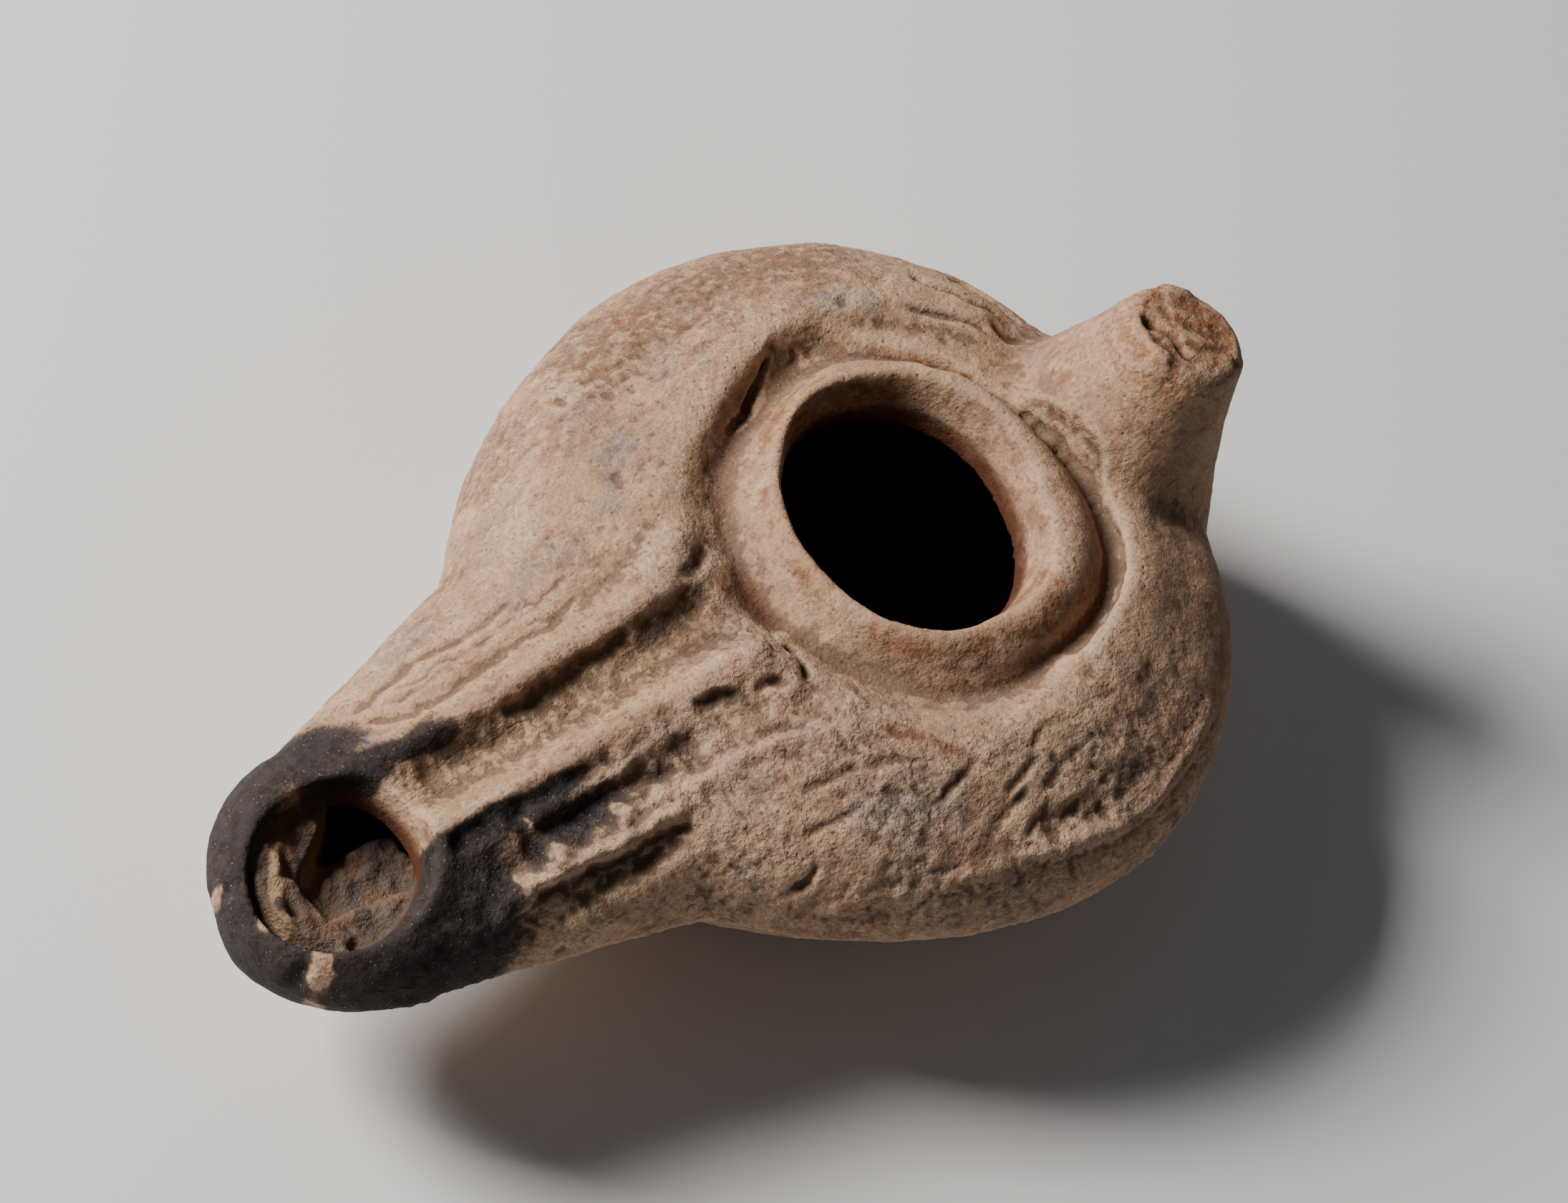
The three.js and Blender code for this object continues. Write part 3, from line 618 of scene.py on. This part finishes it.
def weathered(points):
    """How far each point of the skin moves along its normal, in millimetres"""
    x, y, z = points.T
    depth = buried(points)
    outside = 1 - smooth(0.8, 2.2, depth)
    upper = smooth(SEAM_HEIGHT - 1, SEAM_HEIGHT + 2, z) * outside * (1 - smooth(0, 3, z - RELIEF_TOP))
    crumbly = rough_share(points)
    left = smooth(6, 14, y) * upper
    move = 0.2 * lumps(points, 17, 3) + 0.13 * rough(points, 7, 5)
    move += (0.07 + 0.09 * crumbly) * rough(points, 2.8, 11, 4)
    move += crumbly * (0.1 * flaked(points, 2.2, 21) + 0.1 * flaked(points, 1.2, 23) - 0.1)
    move += 0.05 * (1 - crumbly) * outside * (flaked(points, 3, 27) - 0.5)
    worn = 1 - np.abs(rough(drawn_out(points, 0.26, 5), 1.0, 31))
    move += 0.06 * (worn - 0.75) * upper * smooth(-15, -21, y) * smooth(-26, -16, x) * smooth(16, 6, x)
    brushed = 1 - np.abs(rough(drawn_out(points, 0.5, 4), 1.0, 35))
    move += 0.08 * (brushed - 0.75) * left
    move += 0.045 * rough(points, 0.8, 41, 2) * (0.9 + 1.2 * crumbly)
    bent = points + 0.4 * np.stack([rough(points, 2.6, 51), rough(points, 2.6, 52), 0 * x], 1)
    ragged = 1 + 0.6 * rough(points, 1.8, 55)
    relief = np.zeros(len(points))
    for half, height, line in NOZZLE_RELIEF + SHOULDER_RELIEF:
        relief += height * band(bent, line, half * RELIEF_SPREAD, 1.6)
    for middle, radius, height in PITS:
        relief += height * spot(bent, middle, radius)
    move += np.maximum(relief * upper * ragged, -1.0)
    for half, height, line in SIDE_RELIEF:
        move += height * band(bent, line, half * RELIEF_SPREAD, 3) * outside * ragged
    _, along = handle_axis_distance(points)
    end = smooth(HANDLE_LENGTH - 3, HANDLE_LENGTH - 0.8, along)
    chipped = 0.8 * sum(height * band(bent, line, half * RELIEF_SPREAD, 0.8)
        for half, height, line in END_RELIEF)
    chipped -= (0.7 * spot(bent, (25.4, 1.0), 1.3) + 0.08 * flaked(points, 2.4, 61)
        + 0.3 * flaked(points, 5, 62))
    move += end * chipped
    return move * mix(0.35, 1, outside)


def rough_share(points):
    """How crumbled the skin is: most on the right shoulder, the nozzle's right flank and the channel"""
    x, y, z = points.T
    over = smooth(15, 18, z)
    shoulder = smooth(-16, -22, y) * smooth(20, 6, x) * over
    front = smooth(-7, -12, y) * smooth(-10, -16, x) * over
    flank = smooth(-3, -6, y) * smooth(-14, -20, x) * smooth(-57, -50, x) * over * 0.8
    channel = band(points, CHANNEL, 4.4, 2) * 0.8 * over
    hollow = smooth(-26, -20, x) * smooth(-13, -17, x) * smooth(11, 8, np.abs(y)) * over
    end = smooth(35.2, 36.6, z) * 0.4
    left = 0.4 * smooth(16, 22, y) * over
    most = np.maximum.reduce([shoulder, front, flank, channel, hollow, end, left])
    return clamp01(most * (0.75 + 0.5 * lumps(points, 6, 71)))


def handle_axis_distance(points):
    """Distance from the handle's leaning axis and height along it"""
    axis = np.array([np.sin(HANDLE_LEAN), 0, np.cos(HANDLE_LEAN)])
    away = points - np.array([HANDLE_X, HANDLE_Y, HANDLE_FOOT_HEIGHT])
    height = away @ axis
    return np.linalg.norm(away - height[:, None] * axis, axis=1), height


# Soot, bare patches, crust, stains, colour patches and painted shade, as half width, strength and line of
# each band
SOOT = [
    (4.6, 1.15, [(-47.6, 7.2), (-51.4, 8.0), (-55.5, 9.4), (-60, 9.6), (-64.6, 6.6), (-66.6, 1.5),
        (-66.2, -3.2), (-63.4, -7.6), (-58.6, -10.0), (-53, -10.6), (-46, -11)]),
    (2.6, 1.1, [(-60.5, 9.0), (-56.4, 7.2), (-52.6, 5.2), (-48.6, 4.6), (-42.6, 4.2)]),
    (4.6, 1.2, [(-66, -8.4), (-61, -9.0), (-57, -8.4), (-52.6, -8.0), (-48.6, -8.2), (-44, -8.4)]),
    (3.4, 0.75, [(-50, -7.8), (-44.5, -7.8), (-39.5, -8.0), (-33, -8.4)]),
    (2.4, 1.1, [(-58, -6.6), (-53, -5.2), (-48.6, -4.6), (-43.4, -5.0), (-37.6, -5.4)]),
    (1.5, 1.0, [(-56, -4.2), (-51, -3.6), (-46, -3.9), (-40.6, -4.6), (-37, -5.0)]),
]
BARE = [
    (1.7, 1.2, [(-45.6, -5.3), (-44.4, -5.3)]),
    (1.5, 1.0, [(-67.4, -0.4), (-65.4, -0.9)]),
    (1.2, 0.9, [(-66, -5.8), (-63.8, -7.2)]),
    (1.6, 1.0, [(-61, -5.0), (-62.6, -4.0)]),
    (2.0, 0.9, [(-47.6, -12.4), (-44.4, -12.4)]),
    (0.9, 0.7, [(-48.6, -9.7), (-47, -9.0)]),
    (1.0, 0.8, [(-67.3, 4.2), (-66.8, 3.0)]),
    (0.8, 0.8, [(-58.6, 8.1), (-58.2, 7.9)]),
    (0.7, 0.7, [(-44.6, -9.2), (-43.4, -8.2)]),
    (0.8, 0.8, [(-50.6, 3.8), (-50, 3.7)]),
    (0.9, 0.6, [(-38.2, -9.2), (-36.8, -8.2)]),
]
CRUST = [
    (4.0, 1.0, [(-53, 1.0), (-47, 0.8), (-41, 0.6)]),
    (3.4, 0.6, [(-42, 0.8), (-33, 0.5), (-24, 0.4)]),
    (1.1, 0.9, [(-47, 2.2), (-43, 1.9), (-39, 2.5)]),
]
STAIN = [
    (1.3, 0.9, [(-46.5, 4.9), (-41, 4.7), (-35, 4.6), (-29, 4.6), (-24, 4.9)]),
    (1.5, 1.0, [(-45, -2.9), (-37, -2.7), (-29, -3.3)]),
    (1.2, 1.0, [(-15.6, -14.4), (-13, -17.2), (-9.8, -19.8)]),
    (1.6, 0.5, [(-30, -20), (-22, -26.4), (-12, -30.6)]),
    (1.2, 0.8, [(-24.2, -5.8), (-22.6, -6.4)]),
    (1.3, 0.6, [(-8, 20.6), (-3, 22.2), (2, 22.6)]),
]
# Painted shade: brown bands along the channel, the ring's front and the left flanks of the nozzle and body
SHADED = [
    (2.2, 0.9, [(-6, -12.4), (2, -13.8), (8, -12.6)]),
    (6.5, 0.9, [(-17, 26), (-9, 27.5), (0, 27.5), (9, 25.5), (17, 21)]),
    (3.6, 0.8, [(-40, 0.6), (-32, 0.5), (-24, 0.5), (-18, 0.6)]),
    (3.4, 0.7, [(-30, 21), (-24, 24.6), (-18, 27.5)]),
    (3.0, 0.6, [(-44, 7.4), (-38, 7.2), (-30, 7.0)]),
    (3, 0.6, [(-54, 12.4), (-46, 14.4), (-38, 16.2)]),
]
UMBER = [
    (2.1, 1.2, [(-10.4, -6.4), (-8.0, -9.2), (-4.4, -11.4), (0.4, -12.6), (4.6, -12.6), (8, -11.4)]),
    (2.0, 1.1, [(-8.6, 8.2), (-10.6, 4.6), (-11.4, 0.6), (-11.0, -3.6)]),
    (2.2, 0.9, [(9.5, 9.6), (5, 12.4), (-1, 13.0), (-7.5, 10.6)]),
    (2.6, 0.5, [(-15, 27.5), (-9, 28.4), (-3, 28.6)]),
    (2.4, 0.5, [(19, 18), (22, 13.6), (25, 10.4)]),
]
LILAC = [
    (2.2, 1.0, [(-56.5, 10.6), (-53, 8.2), (-50, 6.6)]),
    (2.6, 0.8, [(-22.6, -18.0), (-18.6, -20.2), (-14.8, -22.8), (-11.4, -24.6)]),
    (2.6, 0.5, [(-15.4, -9.6), (-12.6, -13.2), (-8, -16.6), (-1.6, -17.9)]),
    (2.2, 0.8, [(-22.6, 12.6), (-18.6, 16.8), (-15.2, 19.4)]),
    (2.6, 1.0, [(12.0, 5.8), (13.4, 8.0)]),
    (2.2, 0.9, [(14.4, 2.2), (14.8, 4.6)]),
    (2.2, 0.8, [(-18.6, -2.0), (-17.6, -4.2)]),
    (2.6, 0.6, [(-36, 10), (-30, 12.4), (-24, 12.6)]),
    (3.0, 0.6, [(-48, 12.6), (-38, 14.6)]),
    (1.8, 0.9, [(5.6, 20.4), (9.6, 19.2), (12.4, 17.4)]),
    (3.0, 0.5, [(-34, -13), (-29, -14.5), (-24, -13.4)]),
    (2.2, 0.7, [(-2.4, -27.6), (2.2, -27.8), (6.2, -26.8)]),
]
# Painted shade, laid in an olive brown along the grooves, troughs and hollows of the relief
GROOVE_SHADE = [
    (1.4, 1.0, [(-48, 3.2), (-42, 2.9), (-36, 2.8), (-30, 2.9), (-22, 2.8), (-18, 3.8)]),
    (2.6, 0.7, [(-21.5, 5.2), (-17.5, 6.4)]),
    (1.6, 0.9, [(-47, -7.9), (-40, -7.8), (-33, -8.1), (-29, -8)]),
    (1.9, 0.9, [(-45, -12.4), (-40, -12.7), (-35, -13.2)]),
    (1.2, 1.0, [(-28.6, -5.2), (-25, -5.8), (-23, -6.4)]),
    (1.3, 0.8, [(-37, -5.0), (-31.6, -5.0)]),
    (1.2, 0.7, [(-17, -4.8), (-17.2, -7.4), (-18.8, -8.2)]),
    (2.6, 0.35, [(-16.4, 8.4), (-14, 11.4), (-10, 14)]),
    (1.4, 0.8, [(-6.6, 14.8), (-1.8, 17), (2.4, 18.6)]),
    (1.2, 0.8, [(16.6, 1), (17.4, -6), (13.6, -12.8), (8, -16), (0, -16.4)]),
    (2.4, 0.55, [(20, 17), (22.4, 13), (24.4, 10)]),
    (2.2, 0.4, [(-9, -24), (-3, -22.6), (3, -24)]),
    (2.4, 0.25, [(-8, -29.2), (-2, -29.6), (3, -28.4)]),
]


def laid(points, tables, fade=0.6):
    """The strongest of several bands at each point"""
    total = np.zeros(len(points))
    for half, strength, line in tables:
        total = np.maximum(total, strength * band(points, line, half * STAIN_SPREAD, fade * half))
    return total


def finish_masks(points, normals, edges):
    """Named values at each point that the clay's finish reads"""
    x, y, z = points.T
    depth = buried(points)
    deep = smooth(1.2, 2.6, depth)
    over = smooth(10, 16, z)
    warped = points + 0.8 * np.stack([rough(points, 3.4, 81), rough(points, 3.4, 82), 0 * x], 1)
    near = points
    for _ in range(3):
        near = neighbour_mean(near, edges)
    wide = near
    for _ in range(14):
        wide = neighbour_mean(wide, edges)
    # How far each point lies in a hollow, near and broad: the finish paints shade in hollows and a highlight
    # on raised edges from these
    hollow = np.einsum("ij,ij->i", near - points, normals) / 0.05
    broad = np.einsum("ij,ij->i", wide - points, normals) / 0.25
    low = mix(8, 17, smooth(-60, -50, x) * smooth(2, 8, y))
    soot = laid(warped, SOOT, 1.6) * smooth(low, low + 5, z + rough(points, 3, 85)) - 1.2 * laid(warped, BARE)
    soot = soot * (1 - smooth(0.25, 0.7, laid(warped, CRUST[:1])))
    radial, along = handle_axis_distance(points)
    top = smooth(HANDLE_LENGTH - 2.4, HANDLE_LENGTH - 0.6, along)
    rim = top * smooth(3.4, 5.6, radial)
    collar = smooth(HANDLE_LENGTH - 6.5, HANDLE_LENGTH - 2.5, along) * smooth(0.3, -0.7, normals[:, 0])
    umber = np.maximum.reduce([laid(warped, UMBER), rim, 0.8 * top, 0.6 * collar * (along > 10)])
    on_top = smooth(1.6, 0.3, np.abs(z - soil_top(x, y)))
    in_hole = smooth(8.2, 7.2, np.hypot(x - WICK_X, y))
    soil = on_top * in_hole * smooth(0.9, 1.6, depth)
    cake = soil * np.maximum(band(points, CAKE[0], 1.0, 1), band(points, CAKE[1], 0.9, 0.6))
    return {
        "soot": clamp01(soot),
        "crust": laid(warped, CRUST) * over,
        "stain": laid(warped, STAIN) * over,
        "umber": umber * over,
        "lilac": laid(warped, LILAC) * over,
        "shaded": laid(warped, SHADED) * over,
        "groove_shade": laid(warped, GROOVE_SHADE) * over,
        "hollow": np.clip(hollow, -1, 1),
        "broad": np.clip(broad, -1, 1),
        # Deep inside the walls, where the finish paints the clay near black as shade
        "inside": deep * (1 - soil),
        "soil": soil,
        "cake": cake,
        "crumbly": rough_share(points),
    }


def fitted(points):
    """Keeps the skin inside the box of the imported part"""
    low, high = (np.array(v) * PER_METRE for v in cad_box)
    for k in range(3):
        least, most = points[:, k].min(), points[:, k].max()
        share = min(1, (high[k] - low[k] - 2 * BOX_GAP) / (most - least))
        start = np.clip(least, low[k] + BOX_GAP, high[k] - BOX_GAP - (most - least) * share)
        points[:, k] = start + (points[:, k] - least) * share
    return points


def thinned(mesh, keep):
    """The mesh with its hidden and lower sides made of larger triangles, where keep is 0"""
    holder = bpy.data.objects.new("thinning", mesh)
    bpy.context.scene.collection.objects.link(holder)
    group = holder.vertex_groups.new(name="coarse")
    for level in (0.4, 0.6, 0.8, 1.0):
        chosen = np.flatnonzero((1 - keep >= (level - 0.4) / 0.8) & (1 - keep < (level - 0.2) / 0.8 + 1e-6))
        group.add(chosen.tolist(), level, "REPLACE")
    fewer = holder.modifiers.new("fewer", "DECIMATE")
    fewer.ratio = MOST_TRIANGLES / (2 * len(mesh.polygons))
    fewer.vertex_group = "coarse"
    fewer.vertex_group_factor = 0.02
    made = bpy.data.meshes.new_from_object(holder.evaluated_get(bpy.context.evaluated_depsgraph_get()))
    bpy.data.objects.remove(holder)
    bpy.data.meshes.remove(mesh)
    return made


def joint_share(points):
    """1 where the handle's root meets the crown, outside the filling hole's ring, falling to 0 about it"""
    radial, along = handle_axis_distance(points)
    flare = clamp01(1 - along / HANDLE_LENGTH) ** HANDLE_FLARE_POWER
    cone = mix(HANDLE_TOP_RADIUS, HANDLE_FOOT_RADIUS, flare)
    above = points[:, 2] - crown(points[:, 0], points[:, 1]) - 0.8
    joint = smooth(4, 1.5, np.abs(radial - cone)) * smooth(4, 1.5, np.abs(above))
    reach = np.hypot(points[:, 0], points[:, 1])
    high = smooth(27.4, 28.8, points[:, 2]) * smooth(15.2, 16.6, reach)
    return joint * np.maximum(smooth(17.2, 18.8, reach), high)


# Makes the clay: solids, softened joint, wear, thinning and the values that its finish reads
clay = make_clay()
points = points_of(clay)
edges = edges_of(clay)
for share in SMOOTHING:
    points += share * (neighbour_mean(points, edges) - points)
joint = joint_share(points)
for _ in range(JOINT_ROUNDS):
    points += (0.5 * joint)[:, None] * (neighbour_mean(points, edges) - points)
set_points(clay, points)
normals = normals_of(clay)
points = points + weathered(points)[:, None] * normals
flat = points[:, 2] < FLAT_BELOW
points[flat, 2] = 0.0
points = fitted(points)
set_points(clay, points)
keep = (1 - smooth(1.5, 3, buried(points))) * smooth(11, 14, points[:, 2])
in_wick_hole = (np.hypot(points[:, 0] + 58.5, points[:, 1]) < 8) & (points[:, 2] > 12.5)
keep = np.maximum(keep, in_wick_hole)
clay = thinned(clay, keep)
clay.name = "lamp_clay"
points = points_of(clay)
masks = finish_masks(points, normals_of(clay), edges_of(clay))
for name, values in masks.items():
    layer = clay.attributes.new(name, "FLOAT", "POINT")
    layer.data.foreach_set("value", values.astype(np.float32))
set_points(clay, points * MILLIMETRE)
clay.shade_smooth()
lamp = bpy.data.objects.new("lamp_clay", clay)
bpy.context.scene.collection.objects.link(lamp)
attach(lamp, "root")
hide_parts("lamp_body")


# The finish
class Number:
    """A value in a finish's node tree, with arithmetic that adds Math nodes"""

    def __init__(self, finish, socket):
        self.finish, self.socket = finish, socket

    def of(self, operation, *others):
        return self.finish.node("ShaderNodeMath", {"operation": operation}, self, *others)

    def __add__(self, other):
        return self.of("ADD", other)

    def __sub__(self, other):
        return self.of("SUBTRACT", other)

    def __rsub__(self, other):
        return self.of("MULTIPLY_ADD", -1, other)

    def __mul__(self, other):
        return self.of("MULTIPLY", other)

    def between(self, low, high):
        """0 below low and 1 above high, or the other way round, with a smooth change"""
        settings = {"interpolation_type": "SMOOTHSTEP"}
        if low < high:
            return self.finish.node("ShaderNodeMapRange", settings, self, low, high, 0, 1)
        return self.finish.node("ShaderNodeMapRange", settings, self, high, low, 1, 0)

    __radd__ = __add__
    __rmul__ = __mul__


class Finish:
    """A material's node tree, built from places in millimetres"""

    def __init__(self, name):
        self.material = bpy.data.materials.new(name)
        self.material.use_nodes = True
        self.tree = self.material.node_tree
        self.shader = self.tree.nodes["Principled BSDF"]
        self.place = self.node("ShaderNodeVectorMath", {"operation": "SCALE"},
            self.node("ShaderNodeTexCoord", out="Object"), Scale=PER_METRE)

    def fill(self, socket, value):
        """Links a value of the tree to a socket, or sets the socket to a plain one"""
        if isinstance(value, Number):
            self.tree.links.new(value.socket, socket)
        else:
            socket.default_value = value

    def node(self, kind, settings=None, *values, out=0, **named):
        """Adds a node, sets it, fills its sockets in order or by name, and gives its output"""
        made = self.tree.nodes.new(kind)
        for name, value in (settings or {}).items():
            setattr(made, name, value)
        free = [s for s in made.inputs if s.enabled]
        for socket, value in zip(free, values):
            self.fill(socket, value)
        for name, value in named.items():
            self.fill(made.inputs[name.replace("_", " ")], value)
        return Number(self, made.outputs[out])

    def mask(self, name):
        return self.node("ShaderNodeAttribute", {"attribute_name": name}, out="Fac")

    def noise(self, size, detail, stretch=None, roughness=0.5):
        """Noise near 0 to 1 with features about size millimetres across, longer where stretch is above 1"""
        place = self.place
        if stretch:
            place = self.node("ShaderNodeVectorMath", {"operation": "DIVIDE"}, place, stretch)
        return self.node("ShaderNodeTexNoise", None, Vector=place, Scale=1 / size, Detail=detail,
            Roughness=roughness)

    def cells(self, size):
        """Distance from the middles of cells about size millimetres across"""
        return self.node("ShaderNodeTexVoronoi", None, Vector=self.place, Scale=1 / size)

    def blend(self, share, under, over, way="MIX"):
        """Colour over laid on colour under by share"""
        made = self.tree.nodes.new("ShaderNodeMix")
        made.data_type = "RGBA"
        made.blend_type = way
        for index, value in ((0, share), (6, under), (7, over)):
            self.fill(made.inputs[index], value)
        return Number(self, made.outputs[2])

    def set(self, **sockets):
        """Fills sockets of the shader itself"""
        for name, value in sockets.items():
            self.fill(self.shader.inputs[name.replace("_", " ")], value)


def shade(red, green, blue):
    """A colour from its usual 0 to 255 values"""
    parts = [v / 255 for v in (red, green, blue)]
    return tuple(p / 12.92 if p <= 0.04045 else ((p + 0.055) / 1.055) ** 2.4 for p in parts) + (1.0,)


# Colours of the clay, its stains, the soot and the soil, and of the painted shade in hollows, grooves and
# inside
BUFF = shade(187, 149, 117)
PALE = shade(211, 178, 148)
PINK = shade(179, 137, 110)
BROWN = shade(124, 92, 71)
GREY = shade(156, 137, 122)
LILAC_GREY = shade(146, 128, 120)
BLUE_GREY = shade(168, 160, 153)
RED_BROWN = shade(122, 76, 57)
ORANGE_BROWN = shade(142, 88, 54)
CRUST_TAN = shade(178, 142, 110)
OLIVE = shade(86, 73, 55)
DARK_SPECK_AND_SHADE = shade(82, 65, 53)
SOOT_BLACK = shade(19, 18, 21)
SOOT_BLUE = shade(44, 42, 51)
SOOT_BROWN = shade(88, 71, 60)
INSIDE_SHADE = shade(84, 44, 26)
SOIL = shade(128, 97, 76)
SLATE = shade(104, 91, 82)
CAKED = shade(156, 128, 98)
GRAIN_TINT = (0.66, 0.63, 0.6, 1)


def clay_finish():
    """Fired clay under stains, crust, soot and soil, with painted shade in its hollows, grooves and inside, a
    painted highlight on worn raised edges, and its fine flakes and pits in the bump
    """
    f = Finish("fired_clay")
    soot, crust, stain, umber = (f.mask(n) for n in ("soot", "crust", "stain", "umber"))
    lilac, groove_shade, hollow, broad = (f.mask(n) for n in ("lilac", "groove_shade", "hollow", "broad"))
    inside, crumbly, soil, cake = (f.mask(n) for n in ("inside", "crumbly", "soil", "cake"))
    shaded = f.mask("shaded")
    patch = f.noise(12, 4, roughness=0.6)
    cloud = f.noise(4.2, 5, roughness=0.65)
    streak = f.noise(1.6, 5, stretch=(3.2, 1, 1), roughness=0.68)
    mottle = f.noise(1.1, 5, roughness=0.7)
    grain = f.noise(0.34, 3, roughness=0.65)
    speck = f.cells(0.8)
    pit = f.cells(1.15)

    colour = f.blend(patch.between(0.36, 0.64), BUFF, PINK)
    colour = f.blend((cloud + (mottle - 0.5) * 0.6).between(0.47, 0.68) * 0.7, colour, PALE)
    colour = f.blend((streak + (patch - 0.5) * 0.6).between(0.48, 0.66) * 0.6, colour, BROWN)
    greyed = 1 - cloud + crumbly * 0.12 + (grain - 0.5) * 0.3
    colour = f.blend(greyed.between(0.5, 0.72) * 0.6, colour, GREY)
    # Painted shade: the shaded bands laid in brown
    painted_shade = shaded * 1.2 + (streak - 0.5) * 1.6 + (grain - 0.5) * 0.5
    colour = f.blend(painted_shade.between(0.3, 1.1) * 0.7, colour, BROWN)
    colour = f.blend((lilac + (mottle - 0.5) * 0.9).between(0.3, 0.85) * 0.65, colour, LILAC_GREY)
    colour = f.blend((lilac + (streak - 0.5) * 2.2).between(0.85, 1.3) * 0.6, colour, BLUE_GREY)
    colour = f.blend((crust + (mottle - 0.5) * 1.1).between(0.25, 0.75) * 0.85, colour, CRUST_TAN)
    colour = f.blend((stain + (mottle - 0.5) * 1.3).between(0.35, 0.95) * 0.75, colour, RED_BROWN)
    reddened = umber + (cloud - 0.5) * 1.4 + (grain - 0.5) * 0.6
    colour = f.blend(reddened.between(0.25, 0.9) * 0.75, colour, ORANGE_BROWN)
    # Painted shade in the grooves and troughs, in olive
    colour = f.blend((groove_shade + (mottle - 0.5) * 1.0).between(0.2, 0.9) * 0.7, colour, OLIVE)
    # Paler on raised edges: rubbed wear with a painted highlight
    worn = (hollow * -1 + (mottle - 0.5) * 1.0).between(0.1, 0.9)
    colour = f.blend(worn * 0.45, colour, PALE)
    # Painted shade: darker earth brown in hollows and creases
    hollow_shade = (hollow + broad * 0.5 + (mottle - 0.5) * 0.9).between(0.1, 0.95)
    colour = f.blend(hollow_shade * 0.6, colour, DARK_SPECK_AND_SHADE)
    colour = f.blend((mottle + (grain - 0.5) * 0.6).between(0.54, 0.7) * 0.5, colour, BROWN)
    # Dark specks of the clay's grit, in the same colour as the painted shade
    colour = f.blend(pit.between(0.16, 0.08) * 0.5, colour, DARK_SPECK_AND_SHADE)
    colour = f.blend(speck.between(0.2, 0.08) * 0.3, colour, PALE)
    fired = soot * 1.2 + (cloud - 0.5) * 0.8 + (mottle - 0.5) * 1.1 + (grain - 0.5) * 0.5
    sooted = fired.between(0.25, 0.85)
    black = f.blend(mottle.between(0.42, 0.66), SOOT_BLACK, SOOT_BLUE)
    thin = (grain + mottle * 0.6).between(0.74, 0.92) * fired.between(1.6, 0.6)
    black = f.blend(thin * 0.8, black, SOOT_BROWN)
    black = f.blend(f.cells(0.6).between(0.16, 0.07) * 0.55, black, GREY)
    colour = f.blend(sooted * 0.96, colour, black)
    # Painted shade: the chamber and the passages inside coloured near black
    colour = f.blend(inside * 0.98, colour, INSIDE_SHADE)
    ground = f.blend(cloud.between(0.4, 0.6), SOIL, SLATE)
    ground = f.blend(sooted * 0.6, ground, SOOT_BROWN)
    ground = f.blend((cake + (grain - 0.5) * 0.9 + (mottle - 0.5)).between(0.2, 0.7), ground, CAKED)
    colour = f.blend(soil, colour, ground)
    dimmed = f.blend(1.0, colour, GRAIN_TINT, "MULTIPLY")
    colour = f.blend(grain.between(0.34, 0.66) * 0.6, colour, dimmed)

    small_flakes = f.noise(1.3, 5, roughness=0.65).between(0.45, 0.56)
    flakes = f.noise(2.4, 6, roughness=0.62).between(0.45, 0.55) + small_flakes * 0.6
    relief = mottle * (0.13 + crumbly * 0.1 + soil * 0.5)
    relief = relief + grain * (0.1 + crumbly * 0.04 + soil * 0.2) + streak * 0.08
    relief = relief + flakes * (0.025 + crumbly * 0.06)
    relief = relief - speck.between(0.22, 0.02) * 0.02 - pit.between(0.2, 0.02) * 0.05
    relief = relief - crust * f.noise(0.7, 3, stretch=(3, 0.8, 1)).between(0.5, 0.7) * 0.1
    bump = f.node("ShaderNodeBump", None, Strength=1.0, Distance=MILLIMETRE, Height=relief)
    roughness = f.node("ShaderNodeMapRange", None, mottle - sooted * 0.25, 0.1, 0.8, 0.76, 0.97)
    f.set(Base_Color=colour, Roughness=roughness, Normal=bump, Specular_IOR_Level=0.25)
    return f.material


clay.materials.clear()
clay.materials.append(clay_finish())

# The camera at the photograph's angle
CAMERA_DISTANCE = 0.42929
AIM = Vector((-14.68, 0, 18)) * MILLIMETRE
BACK = Vector((-0.52427, -0.26003, 0.81088))
RIGHT = Vector((0.73829, -0.61332, 0.28065))
UP = Vector((0.42436, 0.74580, 0.51352))
view = bpy.data.cameras.new("view")
view.lens = 118.17
view.sensor_width = 36
view.shift_x = 0.0274
view.shift_y = 0.0318
camera = bpy.data.objects.new("view", view)
bpy.context.scene.collection.objects.link(camera)
eye = AIM + BACK * CAMERA_DISTANCE
camera.matrix_world = Matrix.Translation(eye) @ Matrix((RIGHT, UP, BACK)).transposed().to_4x4()
bpy.context.scene.camera = camera

# A pale floor, one soft key light and a dim sky
FLOOR_REACH = 3.0
KEY_DISTANCE = 0.7
corners = np.array([(-1, -1, 0), (1, -1, 0), (1, 1, 0), (-1, 1, 0)]) * FLOOR_REACH
floor = object_from("floor", corners, [(0, 1, 2, 3)])
panel = bpy.data.lights.new("key", "AREA")
panel.energy = 9.4
panel.size = 0.24
panel.color = (1, 0.98, 0.95)
key = bpy.data.objects.new("key", panel)
bpy.context.scene.collection.objects.link(key)
direction = Vector((-0.5, 0.66, 0.62)).normalized()
facing = direction.to_track_quat("Z", "Y").to_matrix().to_4x4()
key.matrix_world = Matrix.Translation(direction * KEY_DISTANCE) @ facing
world = bpy.data.worlds.new("studio")
world.use_nodes = True
world.node_tree.nodes["Background"].inputs["Color"].default_value = (0.9, 0.93, 1, 1)
world.node_tree.nodes["Background"].inputs["Strength"].default_value = 0.085
bpy.context.scene.world = world
